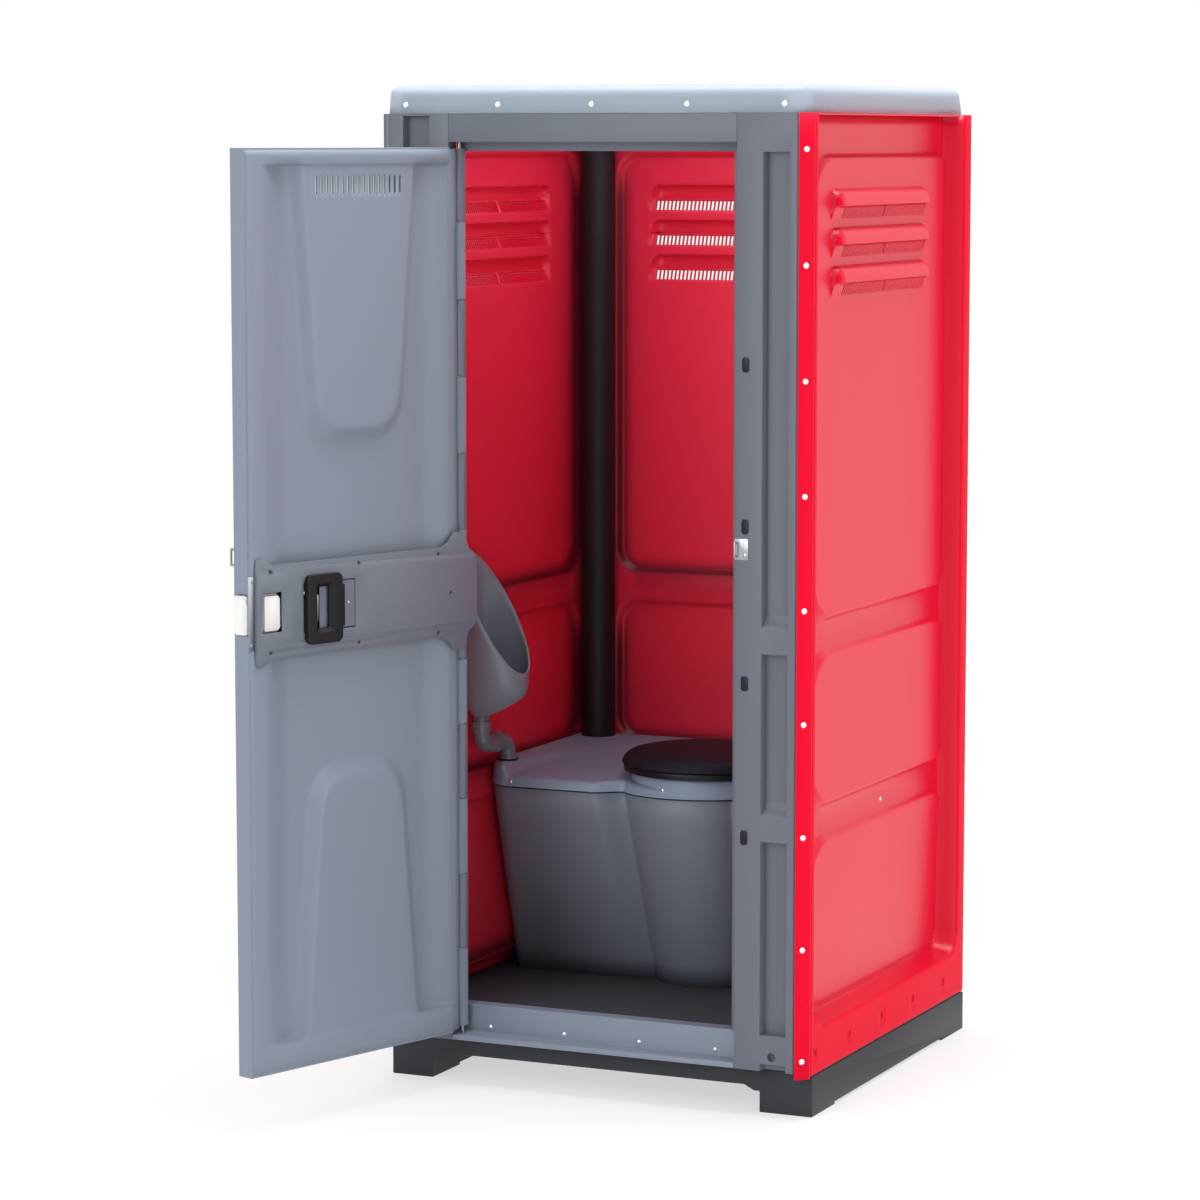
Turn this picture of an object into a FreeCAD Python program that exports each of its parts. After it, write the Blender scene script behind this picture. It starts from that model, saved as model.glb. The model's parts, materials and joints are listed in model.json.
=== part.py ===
# A portable toilet cabin: a moulded skid base, three pillowed wall sheets with louvre hoods,
# a front frame with a hinged door on a long rod, a sliding door bolt, a roof cap, and inside
# a waste tank with its deck, seat and lid, a vent stack and a wall urinal with its drain.
# Millimetres. +X to the right seen from the front, +Y to the back, +Z up.
# The origin is on the ground, under the middle of the cabin.
import FreeCAD, Part
import math
import os

V = FreeCAD.Vector

# Cabin body
half = 530.0              # half of the square plan, over the wall flanges
wall_top = 2244.0         # top of walls and front frame, under the roof skirt
roof_rise = 66.0          # height of the roof over the wall top
sheet = 4.0               # wall, roof and strip sheet thickness
seat_gap = 0.3            # clearance of a piece laid into another

# Skid base
base_setback = 44.0       # its front face stands this far behind the front frame's
base_rim = 92.0           # top of the outer rim, below the wall edges
base_deck = 106.0         # top of the raised deck that frame and walls stand on
beam_low = 60.5           # underside between the runners
runner_right = 128.0
runner_left = 106.0
pad_rise = 6.0            # the runners are relieved by this much between their end pads
pad_front = 143.0
pad_rear = 152.0

# Front frame
jamb_left, jamb_right = 178.0, 173.0  # from the sides of the plan to the doorway
lintel = 64.0             # from the wall top down to the doorway
lip_back = 45.0           # the stop lip lies this far behind the front plane
lip_right = 24.0          # how far the right lip reaches into the doorway
lip_top = 20.0
frame_t = 5.0             # moulded thickness of posts, header and sill
face_left = 48.0          # flat jamb face beside the doorway
face_right = 62.5
rib = 21.5                # outer rib, between channel and corner chamfer
rib_left = 36.5
channel_depth = 23.0
channel_draft = 5.0
chamfer = 26.2
corner_clear = 62.0       # the upstands stop this far from the sides of the plan
block_low, block_high = 188.0, 85.0   # solid ends of the channels, from the ground and from the top
block_rows = [(627.0, 686.0), (1049.5, 1106.5)]
block_slope = 29.0
plug_z = [634.1, 981.6, 1332.6, 1691.6]
plug_half, plug_high = 8.5, 16.5

# Sill
sill_back = 48.0
sill_ledge = 119.0
sill_top = 183.0
sill_depth = 40.0

# Floor
floor_top = 160.0
floor_t = 8.0

# Wall panels, measured as heights and as places across the panel
pillow_depth = 40.0
belt_depth = 55.0
flange = 50.0             # flat edge of a panel, before its recess begins
panel_draft = 16.0
band_top = 208.0          # top of the proud lower band
belt_rows = [(614.0, 673.0), (1038.0, 1099.0)]
top_recess = 87.0         # from the wall top down to the upper pillow
pillow_slope = 15.0
pillow_lean = 13.0        # the lowest pillow leans in by this much towards its foot
pillow_round, pillow_round_rear = 95.0, 38.0
wall_low = 97.0
hood_down = [168.0, 254.0, 340.0]     # hood tops, below the wall top
hood_height = 70.0
hood_out = 25.0
hood_front, hood_rear = 228.0, 208.0  # from the edges of the plan to the hoods' ends
hood_slots = 10
hood_slot = 16.0

# Rivets and screws
rivet_r = 7.0
rivet_h = 3.2
rivet_first, rivet_last = 133.0, 79.0 # from the ground and from the wall top
rivet_rows = 9
roof_rivet_up = 19.5
roof_rivet_in = 52.0
screw_r = 5.0
screw_h = 2.4
wall_screw_z = 145.0
sill_screw_z, sill_screw_left, sill_screw_right = 133.0, 76.4, 65.4
wall_screw_front, wall_screw_rear = 64.0, 148.0

# Roof
roof_in, roof_in_top = 14.0, 22.0     # the sides' set-back from the plan at the skirt and at the top
roof_back, roof_back_top = 8.0, 32.0
roof_edge = 14.0          # height of the sloped edge round the top
roof_corner = 38.0
upstand_h = 44.0

# Door, in its own closed position: s runs from the hinge axis to the free edge,
# t runs inwards from the hinge axis, z is the height
axis_in, axis_back = 14.0, 28.0       # hinge axis, from the left reveal and from the front plane
free_gap = 18.0           # from the free edge to the right reveal
door_open = 108.0         # the door is shown open by this angle
door_foot, door_head = 8.0, 12.0      # clearances over the sill ledge and under the doorway top
t_out, t_in = -28.0, 14.0
skin = 4.0
bevel_s, bevel_foot = 40.0, 31.5
rim, rim_foot, rim_head = 46.0, 68.0, 41.0
foot_left, foot_right = 140.0, 125.0  # where the pocket's slopes end, from the free edge and the axis
valley_t = -9.0
boss_t = 10.0
boss_off = 10.5
boss_taper = 54.0
boss_slope = 37.0
boss_upper, boss_lower = 1515.0, 805.0
boss_corner = 58.0
door_slots, slot_pitch, slot_w, slot_down, slot_h = 17, 16.1, 5.0, 100.0, 37.0

# Hinge
knuckle_r = 14.0
rod_r = 4.0
run_gap = 0.08            # running clearance of a shaft in its bore
knuckle_end = 10.0        # plain ends of the hinge strip
knuckle_first, knuckle_last = 184.0, 167.0
knuckle_grip = 847.0      # three shorter knuckles stand at the height of the latch
knuckle_short = 150.0
knuckle_gap = 0.6

# Latch, its places across the door measured back from the free edge
bolt_low, bolt_high = 1113.0, 1199.0
bolt_t0, bolt_t1 = -14.0, 12.0
bolt_out = 14.0           # how far the nose stands out of the door edge as shown
bolt_len = 106.0
pad_from, pad_to = 89.0, 43.0
case_from, case_wall = 305.0, 3.0
cover_t = 27.0            # inner face of the cover band
cover_skin = 3.0
cover_low, cover_high = 1060.0, 1256.0
cover_edge, cover_hinge = 20.0, -25.0
cover_band_in = 26.0
cover_screw_s = 61.0      # the one screw in the band, from the axis
screw_seat = 5.0          # height of the flats for the cover's screw heads, over the door's face
handle_from, handle_to = 285.0, 159.0
handle_z0, handle_z1 = 1078.0, 1233.0
handle_round = 14.0
guide_low, guide_high = 1076.0, 1240.0
staple_low, staple_high = 1258.0, 1306.0
pull_low, pull_high = 1080.0, 1230.0

# Tank, deck and seat
tank_clear = 3.0          # from the tank to the walls' belts
deck_z = 690.0
deck_rim, deck_fall = 54.0, 28.0      # the deck's rim and its front edge, below its top
tank_t = 5.0
seat_x, seat_y = 46.0, 48.0
seat_r = 201.0
hole_r = 112.0
collar_r = 182.0          # raised round collar that the seat sits on
collar_in = 3.3
ring_t = 17.3
lid_r = 4.0               # the lid is larger than the ring by this much all round
lid_h = 37.0
lid_back, lid_up = 224.0, 8.0         # lid axis, behind the seat's middle and over the ring
lug_x = 92.0
pin_r = 4.0
round_sides = 36          # straight sides that the round seat and its collar are drawn in

# Vent stack, urinal and drain
vent_in, vent_r, vent_t = 55.0, 42.0, 3.5
urinal_y = -180.0
drain_in, drain_r, drain_t = 24.7, 20.0, 3.0
drain_in_y = -40.0
drain_run_z = 742.0
drain_bend = 36.0
socket_r = 24.0

# Places that follow from these sizes
front = -half
roof_top = wall_top + roof_rise
base_front = front + base_setback
sill_y = front + sill_back
open_left, open_right = jamb_left - half, half - jamb_right
open_top = wall_top - lintel
roof_inside = front + sheet + 3 + seat_gap
panel_edge = half - flange
pillow_rows = list(zip([band_top + 6] + [high for low, high in belt_rows],
                       [low for low, high in belt_rows] + [wall_top - top_recess]))
hood_tops = [wall_top - down for down in hood_down]
hood_from, hood_to = hood_front - half, half - hood_rear
axis_x, axis_y = open_left + axis_in, front + axis_back
door_edge = open_right - axis_x - free_gap
door_low, door_high = sill_ledge + door_foot, open_top - door_head
rim_low, rim_high = door_low + rim_foot, door_high - rim_head
boss_s = door_edge / 2 - boss_off
boss_wide = (door_edge - foot_left - foot_right) / 2 + 1
cover_free = door_edge - cover_edge
handle_s0, handle_s1 = door_edge - handle_from, door_edge - handle_to
tank_half = half - belt_depth - sheet - tank_clear
tank_rear = tank_half - 1
rim_z, deck_front_z = deck_z - deck_rim, deck_z - deck_fall
collar_z = deck_z - collar_in
ring_top = collar_z + ring_t
lid_top = ring_top + lid_h
lid_axis_y, lid_axis_z = seat_y + lid_back, ring_top + lid_up
vent_x, vent_y = vent_in - tank_half, tank_rear - vent_in + 12
urinal_back = belt_depth + sheet + seat_gap - half
drain_x = urinal_back + drain_in
drain_in_x = drain_in - tank_half + 0.3

os.makedirs("parts", exist_ok=True)


def save(name, shape):
    """Writes one node."""
    shape.exportStep("parts/" + name + ".step")


def box(x0, y0, z0, x1, y1, z1):
    return Part.makeBox(x1 - x0, y1 - y0, z1 - z0, V(x0, y0, z0))


def prism_z(points, z0, z1):
    """A plan outline raised from z0 to z1."""
    ring = [V(x, y, z0) for x, y in points]
    return Part.Face(Part.makePolygon(ring + ring[:1])).extrude(V(0, 0, z1 - z0))


def prism_x(points, x0, x1):
    """A side outline of (y, z) points, drawn out from x0 to x1."""
    ring = [V(x0, y, z) for y, z in points]
    return Part.Face(Part.makePolygon(ring + ring[:1])).extrude(V(x1 - x0, 0, 0))


def prism_y(points, y0, y1):
    """A front outline of (x, z) points, drawn out from y0 to y1."""
    ring = [V(x, y0, z) for x, z in points]
    return Part.Face(Part.makePolygon(ring + ring[:1])).extrude(V(0, y1 - y0, 0))


def band(path, t):
    """The outline of a folded strip: path is its one face, t its thickness to the left."""
    other = []
    for i, (x, y) in enumerate(path):
        dirs = []
        if i:
            dirs.append((x - path[i - 1][0], y - path[i - 1][1]))
        if i < len(path) - 1:
            dirs.append((path[i + 1][0] - x, path[i + 1][1] - y))
        normals = [(-dy / math.hypot(dx, dy), dx / math.hypot(dx, dy)) for dx, dy in dirs]
        nx = sum(n[0] for n in normals) / len(normals)
        ny = sum(n[1] for n in normals) / len(normals)
        scale = t / (nx * nx + ny * ny)
        other.append((x + nx * scale, y + ny * scale))
    return list(path) + other[::-1]


def tube(r_out, r_in, z0, z1, x, y):
    outer = Part.makeCylinder(r_out, z1 - z0, V(x, y, z0))
    return outer.cut(Part.makeCylinder(r_in, z1 - z0 + 2, V(x, y, z0 - 1)))


def ring_points(x0, y0, x1, y1, r0, r1, steps=4):
    """A rectangle as points, its corners rounded in straight steps: r0 at the x0 end, r1 at x1."""
    points = []
    for x, y, r, start in ((x1 - r1, y1 - r1, r1, 0), (x0 + r0, y1 - r0, r0, 90),
                           (x0 + r0, y0 + r0, r0, 180), (x1 - r1, y0 + r1, r1, 270)):
        for i in range(steps + 1):
            a = math.radians(start + 90.0 * i / steps)
            points.append((x + r * math.cos(a), y + r * math.sin(a)))
    return points


def flat_faces(corners):
    """A four-cornered facet, folded once where its corners aren't in one plane."""
    a, b, c, d = corners
    normal = (b - a).cross(c - a)
    flat = abs(normal.normalize().dot(d - a)) < 1e-7
    parts = [(a, b, c, d)] if flat else [(a, b, c), (a, c, d)]
    return [Part.Face(Part.makePolygon(list(part) + [part[0]])) for part in parts]


def skin_rings(rings):
    """A solid through rings of as many points each: flat facets between them, a flat face at each end."""
    faces = []
    for low, high in zip(rings[:-1], rings[1:]):
        for i in range(len(low)):
            j = (i + 1) % len(low)
            faces += flat_faces((low[i], low[j], high[j], high[i]))
    for ring in (rings[0], rings[-1]):
        faces.append(Part.Face(Part.makePolygon(ring + ring[:1])))
    solid = Part.Solid(Part.Shell(faces))
    if solid.Volume < 0:
        solid.reverse()
    return solid


def round_ring(at, heading, across, r, sides):
    """A many-sided round ring at a point, square to heading, its first point towards across."""
    u = (across - heading * across.dot(heading)).normalize()
    v = heading.cross(u)
    turns = [2 * math.pi * i / sides for i in range(sides)]
    return [at + u * (r * math.cos(a)) + v * (r * math.sin(a)) for a in turns]


def many_sided_rod(r, z0, z1, x, y, sides=12):
    """An upright many-sided rod that a round one of radius r just fits into."""
    ring = round_ring(V(x, y, z0), V(0, 0, 1), V(1, 0, 0), r / math.cos(math.pi / sides), sides)
    return Part.Face(Part.makePolygon(ring + ring[:1])).extrude(V(0, 0, z1 - z0))


def many_sided_tube(at, heading, r_out, r_in, length, sides=16):
    across = V(0, 1, 0) if abs(heading.y) < 0.9 else V(0, 0, 1)
    solids = []
    for r, extra in ((r_out, 0), (r_in, 1)):
        ends = [at - heading * extra, at + heading * (length + extra)]
        solids.append(skin_rings([round_ring(end, heading, across, r, sides) for end in ends]))
    return solids[0].cut(solids[1])


def dome(at, out, r, h):
    """A rivet or screw head on the face through at, standing out along out: a low six-sided button."""
    rise = V(*out)
    across = V(0, 0, 1) if abs(out[2]) < 0.9 else V(1, 0, 0)
    places = [(V(*at), r), (V(*at) + rise * h, r * 0.6)]
    return skin_rings([round_ring(place, rise, across, reach, 6) for place, reach in places])


def door_box(s0, t0, z0, s1, t1, z1):
    return box(axis_x + s0, axis_y + t0, z0, axis_x + s1, axis_y + t1, z1)


def door_prism(points, z0, z1):
    """A plan outline of (s, t) points on the closed door."""
    return prism_z([(axis_x + s, axis_y + t) for s, t in points], z0, z1)


def door_face(points, t0, t1):
    """A front outline of (s, z) points on the closed door."""
    return prism_y([(axis_x + s, z) for s, z in points], axis_y + t0, axis_y + t1)


def swing(shape):
    """Turns a piece of the closed door to the angle at which the door is shown."""
    return shape.rotated(V(axis_x, axis_y, 0), V(0, 0, 1), -door_open)


# Base and floor

def make_base():
    deck = box(-half + sheet, base_front, beam_low + 8, half - sheet, half - sheet, base_deck)
    rim = box(-half, base_front, beam_low + 8, half, half, base_rim)
    shape = deck.fuse(rim)
    front_beam = box(-half, base_front, beam_low, half, base_front + 60, base_rim)
    rear_beam = box(-half, half - 60, beam_low, half, half, base_rim)
    runners = []
    for x0, x1 in ((-half, -half + runner_left), (half - runner_right, half)):
        runner = box(x0, base_front, 0, x1, half, base_rim)
        relief = box(x0 - 1, base_front + pad_front, -1, x1 + 1, half - pad_rear, pad_rise)
        runners.append(runner.cut(relief))
    haunches = []
    for x, way in ((-half + runner_left, 1), (half - runner_right, -1)):
        points = [(x, beam_low + 1), (x, beam_low - 12), (x + way * 14, beam_low - 12), (x + way * 40, beam_low + 1)]
        haunches.append(prism_y(points, base_front, base_front + 60))
        haunches.append(prism_y(points, half - 60, half))
    ribs = [box(x - 5, base_front + 60, beam_low, x + 5, half - 60, beam_low + 9) for x in (-280, -140, 0, 140, 280)]
    return shape.fuse([front_beam, rear_beam] + runners + haunches + ribs).removeSplitter()


def make_floor():
    x = half - sheet - seat_gap
    y0, y1 = -panel_edge + 8, half - 2 * sheet - seat_gap
    shell = box(-x, y0, base_deck, x, y1, floor_top)
    hollow = box(-x + 6, y0 + 6, base_deck - 1, x - 6, y1 - 6, floor_top - floor_t)
    ribs = [box(-x, y - 3, base_deck, x, y + 3, floor_top - 1) for y in (-240, 0, 240)]
    ribs += [box(px - 3, y0, base_deck, px + 3, y1, floor_top - 1) for px in (-half / 2, 0, half / 2)]
    return shell.cut(hollow).fuse(ribs).removeSplitter()


# Front frame

def roof_upstand(x0, x1):
    """The turned-in top edge of a frame piece, with the upstand that stands inside the roof skirt."""
    back = roof_inside + frame_t
    return [box(x0, front + 1, wall_top - frame_t, x1, back, wall_top),
            box(x0, roof_inside, wall_top - frame_t, x1, back, wall_top + upstand_h)]


def post_channel(face, rib_end):
    """The folded front of a post from its jamb face to its rib, as plan points."""
    foot0, foot1 = face + channel_draft, rib_end - channel_draft
    back = front + channel_depth
    return [(face, front), (foot0, back), (foot1, back), (rib_end, front)]


def make_right_post():
    face = open_right + face_right
    corner = half - chamfer
    rib_start = corner - rib
    slip = sheet * (math.sqrt(2) - 1)
    path = [(open_right - lip_right, front + lip_back), (open_right, front + lip_back), (open_right, front)]
    path += post_channel(face, rib_start)
    path += [(corner - slip - sheet, front), (half - sheet, -corner + slip), (half - sheet, -panel_edge - 2)]
    shape = prism_z(band(path, frame_t), base_deck, wall_top)
    back = front + channel_depth
    sides = [[(front, low), (back, low), (back, high), (front, high)]
             for low, high in ((sill_ledge + 3, block_low), (wall_top - block_high, wall_top))]
    sides += [[(front, low), (back, low), (back, high + block_slope), (back - 8, high + block_slope * 0.4),
               (front, high)] for low, high in block_rows]
    for side in sides:
        shape = shape.fuse(prism_x(side, face, rib_start))
    keeper = box(open_right - 1, axis_y + bolt_t0 - 3, bolt_low - 3,
                 open_right + frame_t + 1, axis_y + bolt_t1 + 3, bolt_high + 3)
    bolt_hole = Part.makeCylinder(10, 14, V(rib_start - 34, front - 1, 139), V(0, 1, 0))
    lip_ends = [box(open_right - lip_right - 1, front, z0, open_right, 0, z1)
                for z0, z1 in ((0, sill_top), (open_top - lip_top, wall_top + 1))]
    return shape.cut([keeper, bolt_hole] + lip_ends).fuse(roof_upstand(open_right, half - corner_clear)).removeSplitter()


def make_left_post():
    face = -open_left + face_left
    corner = half - chamfer
    rib_start = corner - rib_left
    path = [(-open_left, front + 40), (-open_left, front)]
    path += post_channel(face, rib_start)
    path += [(corner, front), (half, -corner)]
    mirrored = [(-x, y) for x, y in path]
    shape = prism_z(band(mirrored[::-1], frame_t), base_deck, wall_top)
    beside = box(-half - 1, -corner, base_deck - 1, -half + sheet, 0, wall_top + 1)
    turned = box(-half + sheet, -corner - 8, base_deck, -half + sheet + frame_t, -panel_edge - 2, wall_top)
    knuckles = []
    for low, high in knuckle_spans(0):
        lug = box(open_left - 1, axis_y - knuckle_r, low, axis_x, axis_y + knuckle_r, high)
        knuckles += [lug, knuckle(low, high)]
    shape = shape.cut(beside).fuse([turned] + roof_upstand(corner_clear - half, open_left) + knuckles)
    return shape.cut(rod_bore()).removeSplitter()


def make_header():
    path = [(front + lip_back, open_top - lip_top), (front + lip_back, open_top), (front, open_top), (front, wall_top)]
    shape = prism_x(band(path[::-1], frame_t), open_left, open_right)
    return shape.fuse(roof_upstand(open_left, open_right)).removeSplitter()


def make_sill():
    back = sill_y + sill_depth
    path = [(front, base_deck), (front, sill_ledge), (sill_y, sill_ledge), (sill_y, sill_top),
            (back, sill_top), (back, floor_top)]
    shape = prism_x(band(path, -frame_t), open_left, open_right)
    foot = box(open_left, base_front, base_deck, open_right, sill_y + frame_t, sill_ledge)
    return shape.fuse(foot).removeSplitter()


def make_plugs():
    solids = []
    x = open_right + 23
    for z in plug_z:
        plug = box(x - plug_half, front - 2, z - plug_high, x + plug_half, front, z + plug_high)
        edges = [e for e in plug.Edges if abs(e.tangentAt(e.FirstParameter).y) > 0.9]
        solids.append(plug.makeChamfer(4, edges))
    return Part.makeCompound(solids)


def make_jamb_staple():
    """A steel plate on the jamb with a bar that a padlock goes round."""
    low, high = staple_low, staple_high
    plate = box(open_right - 2, front - 1.5, low, open_right + 31, front, high)
    bar = box(open_right + 1, front - 14, low + 6, open_right + 5, front - 1, high - 6)
    eye = box(open_right, front - 10, low + 12, open_right + 6, front - 1.5, high - 12)
    return plate.fuse(bar).cut(eye).removeSplitter()


# Walls

def panel_ring(x, y0, y1, z0, z1, r_front, r_rear, lean=0.0):
    """A rounded rectangle on the wall at x, leaning in by lean towards its low end."""
    return [V(x - lean * (z1 - z) / (z1 - z0), y, z) for y, z in ring_points(y0, z0, y1, z1, r_front, r_rear)]


def panel_body(o, r_front, r_rear):
    """The space behind a wall sheet's face, with the face set back by o.

    The panel is drawn as the right wall: its flange at x = half, its recess open at the top.
    """
    edge, draft = panel_edge, panel_draft
    grow = o * math.tan(math.atan(belt_depth / draft) / 2)
    body = box(half - 120, -half, wall_low, half - o, half, wall_top)
    mouth = panel_ring(half + 1, -edge - grow - 0.3, edge + grow + 0.3, band_top - grow, wall_top + 200, 60, 60)
    foot = panel_ring(half - belt_depth - o, -edge + draft - grow, edge - draft + grow,
                      band_top + 8 - grow, wall_top + 190, 50, 50)
    body = body.cut(skin_rings([mouth, foot]))
    inset = o * math.tan(math.pi / 8)
    y0, y1 = -edge + draft + 1 + inset, edge - draft - 1 - inset
    for low, high in pillow_rows:
        lean = pillow_lean if low == pillow_rows[0][0] else 0.0
        low, high = low + inset, high - inset
        outer = panel_ring(half - belt_depth - o - 1, y0, y1, low, high, r_front, r_rear)
        inner = panel_ring(half - pillow_depth - o, y0 + pillow_slope, y1 - pillow_slope,
                           low + pillow_slope, high - pillow_slope, r_front - 8, r_rear - 8, lean)
        body = body.fuse(skin_rings([outer, inner]))
    return body


def hood_body(o, y0, y1, top):
    """One louvre hood, thinned by o: rounded at its upper corners, drawn in to a narrow lip."""
    x = half - pillow_depth - o
    root = ring_points(y0 + o, top - hood_height + o, y1 - o, top - o, 26 - o, 26 - o, 2)
    lip = ring_points(y0 + 22 + o, top - 43 + o * 0.4, y1 - 22 - o, top - 34 - o * 0.4, 2, 2, 2)
    return skin_rings([[V(x - 6, y, z) for y, z in root], [V(x + hood_out, y, z) for y, z in lip]])


def wall_panel(r_front, r_rear, y0, y1):
    """The pillowed sheet with its hoods, drawn as the right wall."""
    face, back = panel_body(0, r_front, r_rear), panel_body(sheet, r_front, r_rear)
    for top in hood_tops:
        face = face.fuse(hood_body(0, y0, y1, top))
        back = back.fuse(hood_body(sheet, y0, y1, top))
    shape = face.cut(back)
    slots = []
    pitch = (y1 - y0 - 90) / hood_slots
    for top in hood_tops:
        for i in range(hood_slots):
            y = y0 + 45 + (i + 0.5) * pitch
            x = half - pillow_depth
            points = [(x - 2, top - hood_height + 8), (x + hood_out - 5, top - 50),
                      (x + hood_out + 6, top - 62), (x + 8, top - hood_height - 6)]
            slots.append(prism_y(points, y - hood_slot / 2, y + hood_slot / 2))
    return shape.cut(slots)


def top_shelf(y0, y1, x):
    """The turned-in top edge that carries the roof, with its upstand inside the roof skirt."""
    shelf = box(half - belt_depth, y0, wall_top - sheet, half - sheet, y1, wall_top)
    return [shelf, box(x - sheet, y0, wall_top - sheet, x, y1, wall_top + upstand_h)]


def make_side_wall(wrapped):
    """The right wall, with or without the strip that wraps the front corner."""
    shape = wall_panel(pillow_round, pillow_round_rear, hood_from, hood_to)
    keep = box(half - 120, -panel_edge - 20, wall_low - 1, half + 60, half, wall_top + 60)
    shape = shape.common(keep)
    corner = half - chamfer
    slip = sheet * (math.sqrt(2) - 1)
    if wrapped:
        path = [(half, -panel_edge - 19), (half, -corner), (corner, -half)]
        strip = prism_z(band(path, -sheet), wall_low - 5, wall_top)
        shape = shape.fuse(strip)
    else:
        shape = shape.fuse(box(half - sheet, -corner + 0.3, wall_low, half, -panel_edge - 19, wall_top))
    turned = box(half - 38, half - 2 * sheet, wall_low + 12, half - sheet, half - sheet, wall_top)
    solids = [turned] + top_shelf(-panel_edge + 6, panel_edge - 25, half - roof_in_top - sheet - seat_gap)
    return shape.fuse(solids).removeSplitter()


def make_rear_wall():
    shape = wall_panel(60, 60, hood_front - half, half - hood_front)
    reach = half - sheet - seat_gap
    keep = box(half - 120, -reach, wall_low - 1, half + 60, reach, wall_top + 60)
    shape = shape.common(keep).fuse(top_shelf(-panel_edge + 30, panel_edge - 30, half - roof_back_top - 3))
    return shape.rotated(V(0, 0, 0), V(0, 0, 1), 90).removeSplitter()


def mirror_x(shape):
    return shape.mirror(V(0, 0, 0), V(1, 0, 0))


# Roof

def roof_ring(z, x, y0, y1, r):
    """A rounded rectangle at height z."""
    return [V(px, py, z) for px, py in ring_points(-x, y0, x, y1, r, r)]


def roof_body(o):
    """The roof's outer body, thinned by o: its skirt with a little draft, then the sloped edge."""
    x0, x1, rear = half - roof_in - o, half - roof_in_top - o, half - roof_back_top
    rings = [roof_ring(wall_top - (1 if o else 0), x0, front + o, half - roof_back - o, roof_corner - o),
             roof_ring(roof_top - roof_edge - o * 0.4, x1, front + 3 + o, rear + 4 - o, roof_corner - o),
             roof_ring(roof_top - o, x1 - 16, front + 18 + o, rear - 14 - o, roof_corner - 12 - o)]
    return skin_rings(rings)


def make_roof():
    shape = roof_body(0).cut(roof_body(sheet))
    stack = many_sided_rod(vent_r + 1, roof_top - 40, roof_top + 20, vent_x, vent_y, 24)
    return shape.cut(stack).removeSplitter()


def make_vent_collar():
    """The rubber collar that seals the stack where it passes the roof."""
    return many_sided_tube(V(vent_x, vent_y, roof_top), V(0, 0, 1), vent_r + 13, vent_r + 0.7, 4, 24)


# Door

def even_steps(start, end, count):
    return [start + (end - start) * i / count for i in range(count)]


def knuckle_spans(which):
    """Height spans of the hinge knuckles: 1 for the door's, 0 for the frame's."""
    bottom, top = door_low + knuckle_end, door_high - 2
    cuts = [bottom] + even_steps(bottom + knuckle_first, knuckle_grip, 3)
    cuts += [knuckle_grip + i * knuckle_short for i in range(3)]
    cuts += even_steps(knuckle_grip + 3 * knuckle_short, top - knuckle_last, 4) + [top - knuckle_last, top]
    spans = list(zip(cuts[:-1], cuts[1:]))
    return [(a + knuckle_gap / 2, b - knuckle_gap / 2) for a, b in spans[1 - which::2]]


def knuckle(low, high, extra=0.0):
    """One hinge knuckle, or with extra the room that one turns in."""
    return many_sided_rod(knuckle_r * math.cos(math.pi / 12) + extra, low, high, axis_x, axis_y)


def rod_bore():
    return many_sided_rod(rod_r + run_gap, base_deck - 6, open_top, axis_x, axis_y)


def boss_outline(depth, upper):
    """The tapered boss of the inner skin, as (s, z) points at its foot (0) or top (1)."""
    wide, narrow = boss_wide - depth * boss_slope, boss_wide - boss_taper - depth * (boss_slope - 5)
    if upper:
        flat, far, way = rim_high + 10, boss_upper + depth * boss_slope, 1
    else:
        flat, far, way = rim_low - 10, boss_lower - depth * boss_slope, -1
    cut = boss_corner - depth * 20
    s = boss_s
    return [(s - wide, flat), (s - narrow, far + way * cut), (s - narrow + cut, far),
            (s + narrow - cut, far), (s + narrow, far + way * cut), (s + wide, flat)]


def inner_relief(o):
    """The inner skin's face as a solid from t_out, with the face set back by o."""
    body = door_box(bevel_foot + 13.5, t_out + skin, door_low + skin, door_edge - skin, t_in - o, door_high - skin)
    rim_s = door_edge - rim
    pocket = [(rim_s, t_in - o), (door_edge - foot_left, valley_t - o), (foot_right, valley_t - o),
              (30, t_in - 8 - o), (20, t_in - 8 - o), (20, t_in + 5), (rim_s, t_in + 5)]
    body = body.cut(door_prism(pocket, rim_low - o, rim_high + o))
    for upper in (True, False):
        boss = skin_rings([[V(axis_x + s, axis_y + t, z) for s, z in boss_outline(depth, upper)]
                           for depth, t in ((0, valley_t - o - 2), (1, boss_t - o))])
        limit = door_box(0, t_out, rim_low - o, door_edge, t_in, rim_high + o)
        body = body.fuse(boss.common(limit))
    return body


def vent_slots():
    solids = []
    for i in range(door_slots):
        s = boss_s + (i - (door_slots - 1) / 2) * slot_pitch
        low = door_high - slot_down
        solids.append(door_box(s - slot_w / 2, t_out - 1, low, s + slot_w / 2, t_in + 1, low + slot_h))
    return solids


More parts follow.
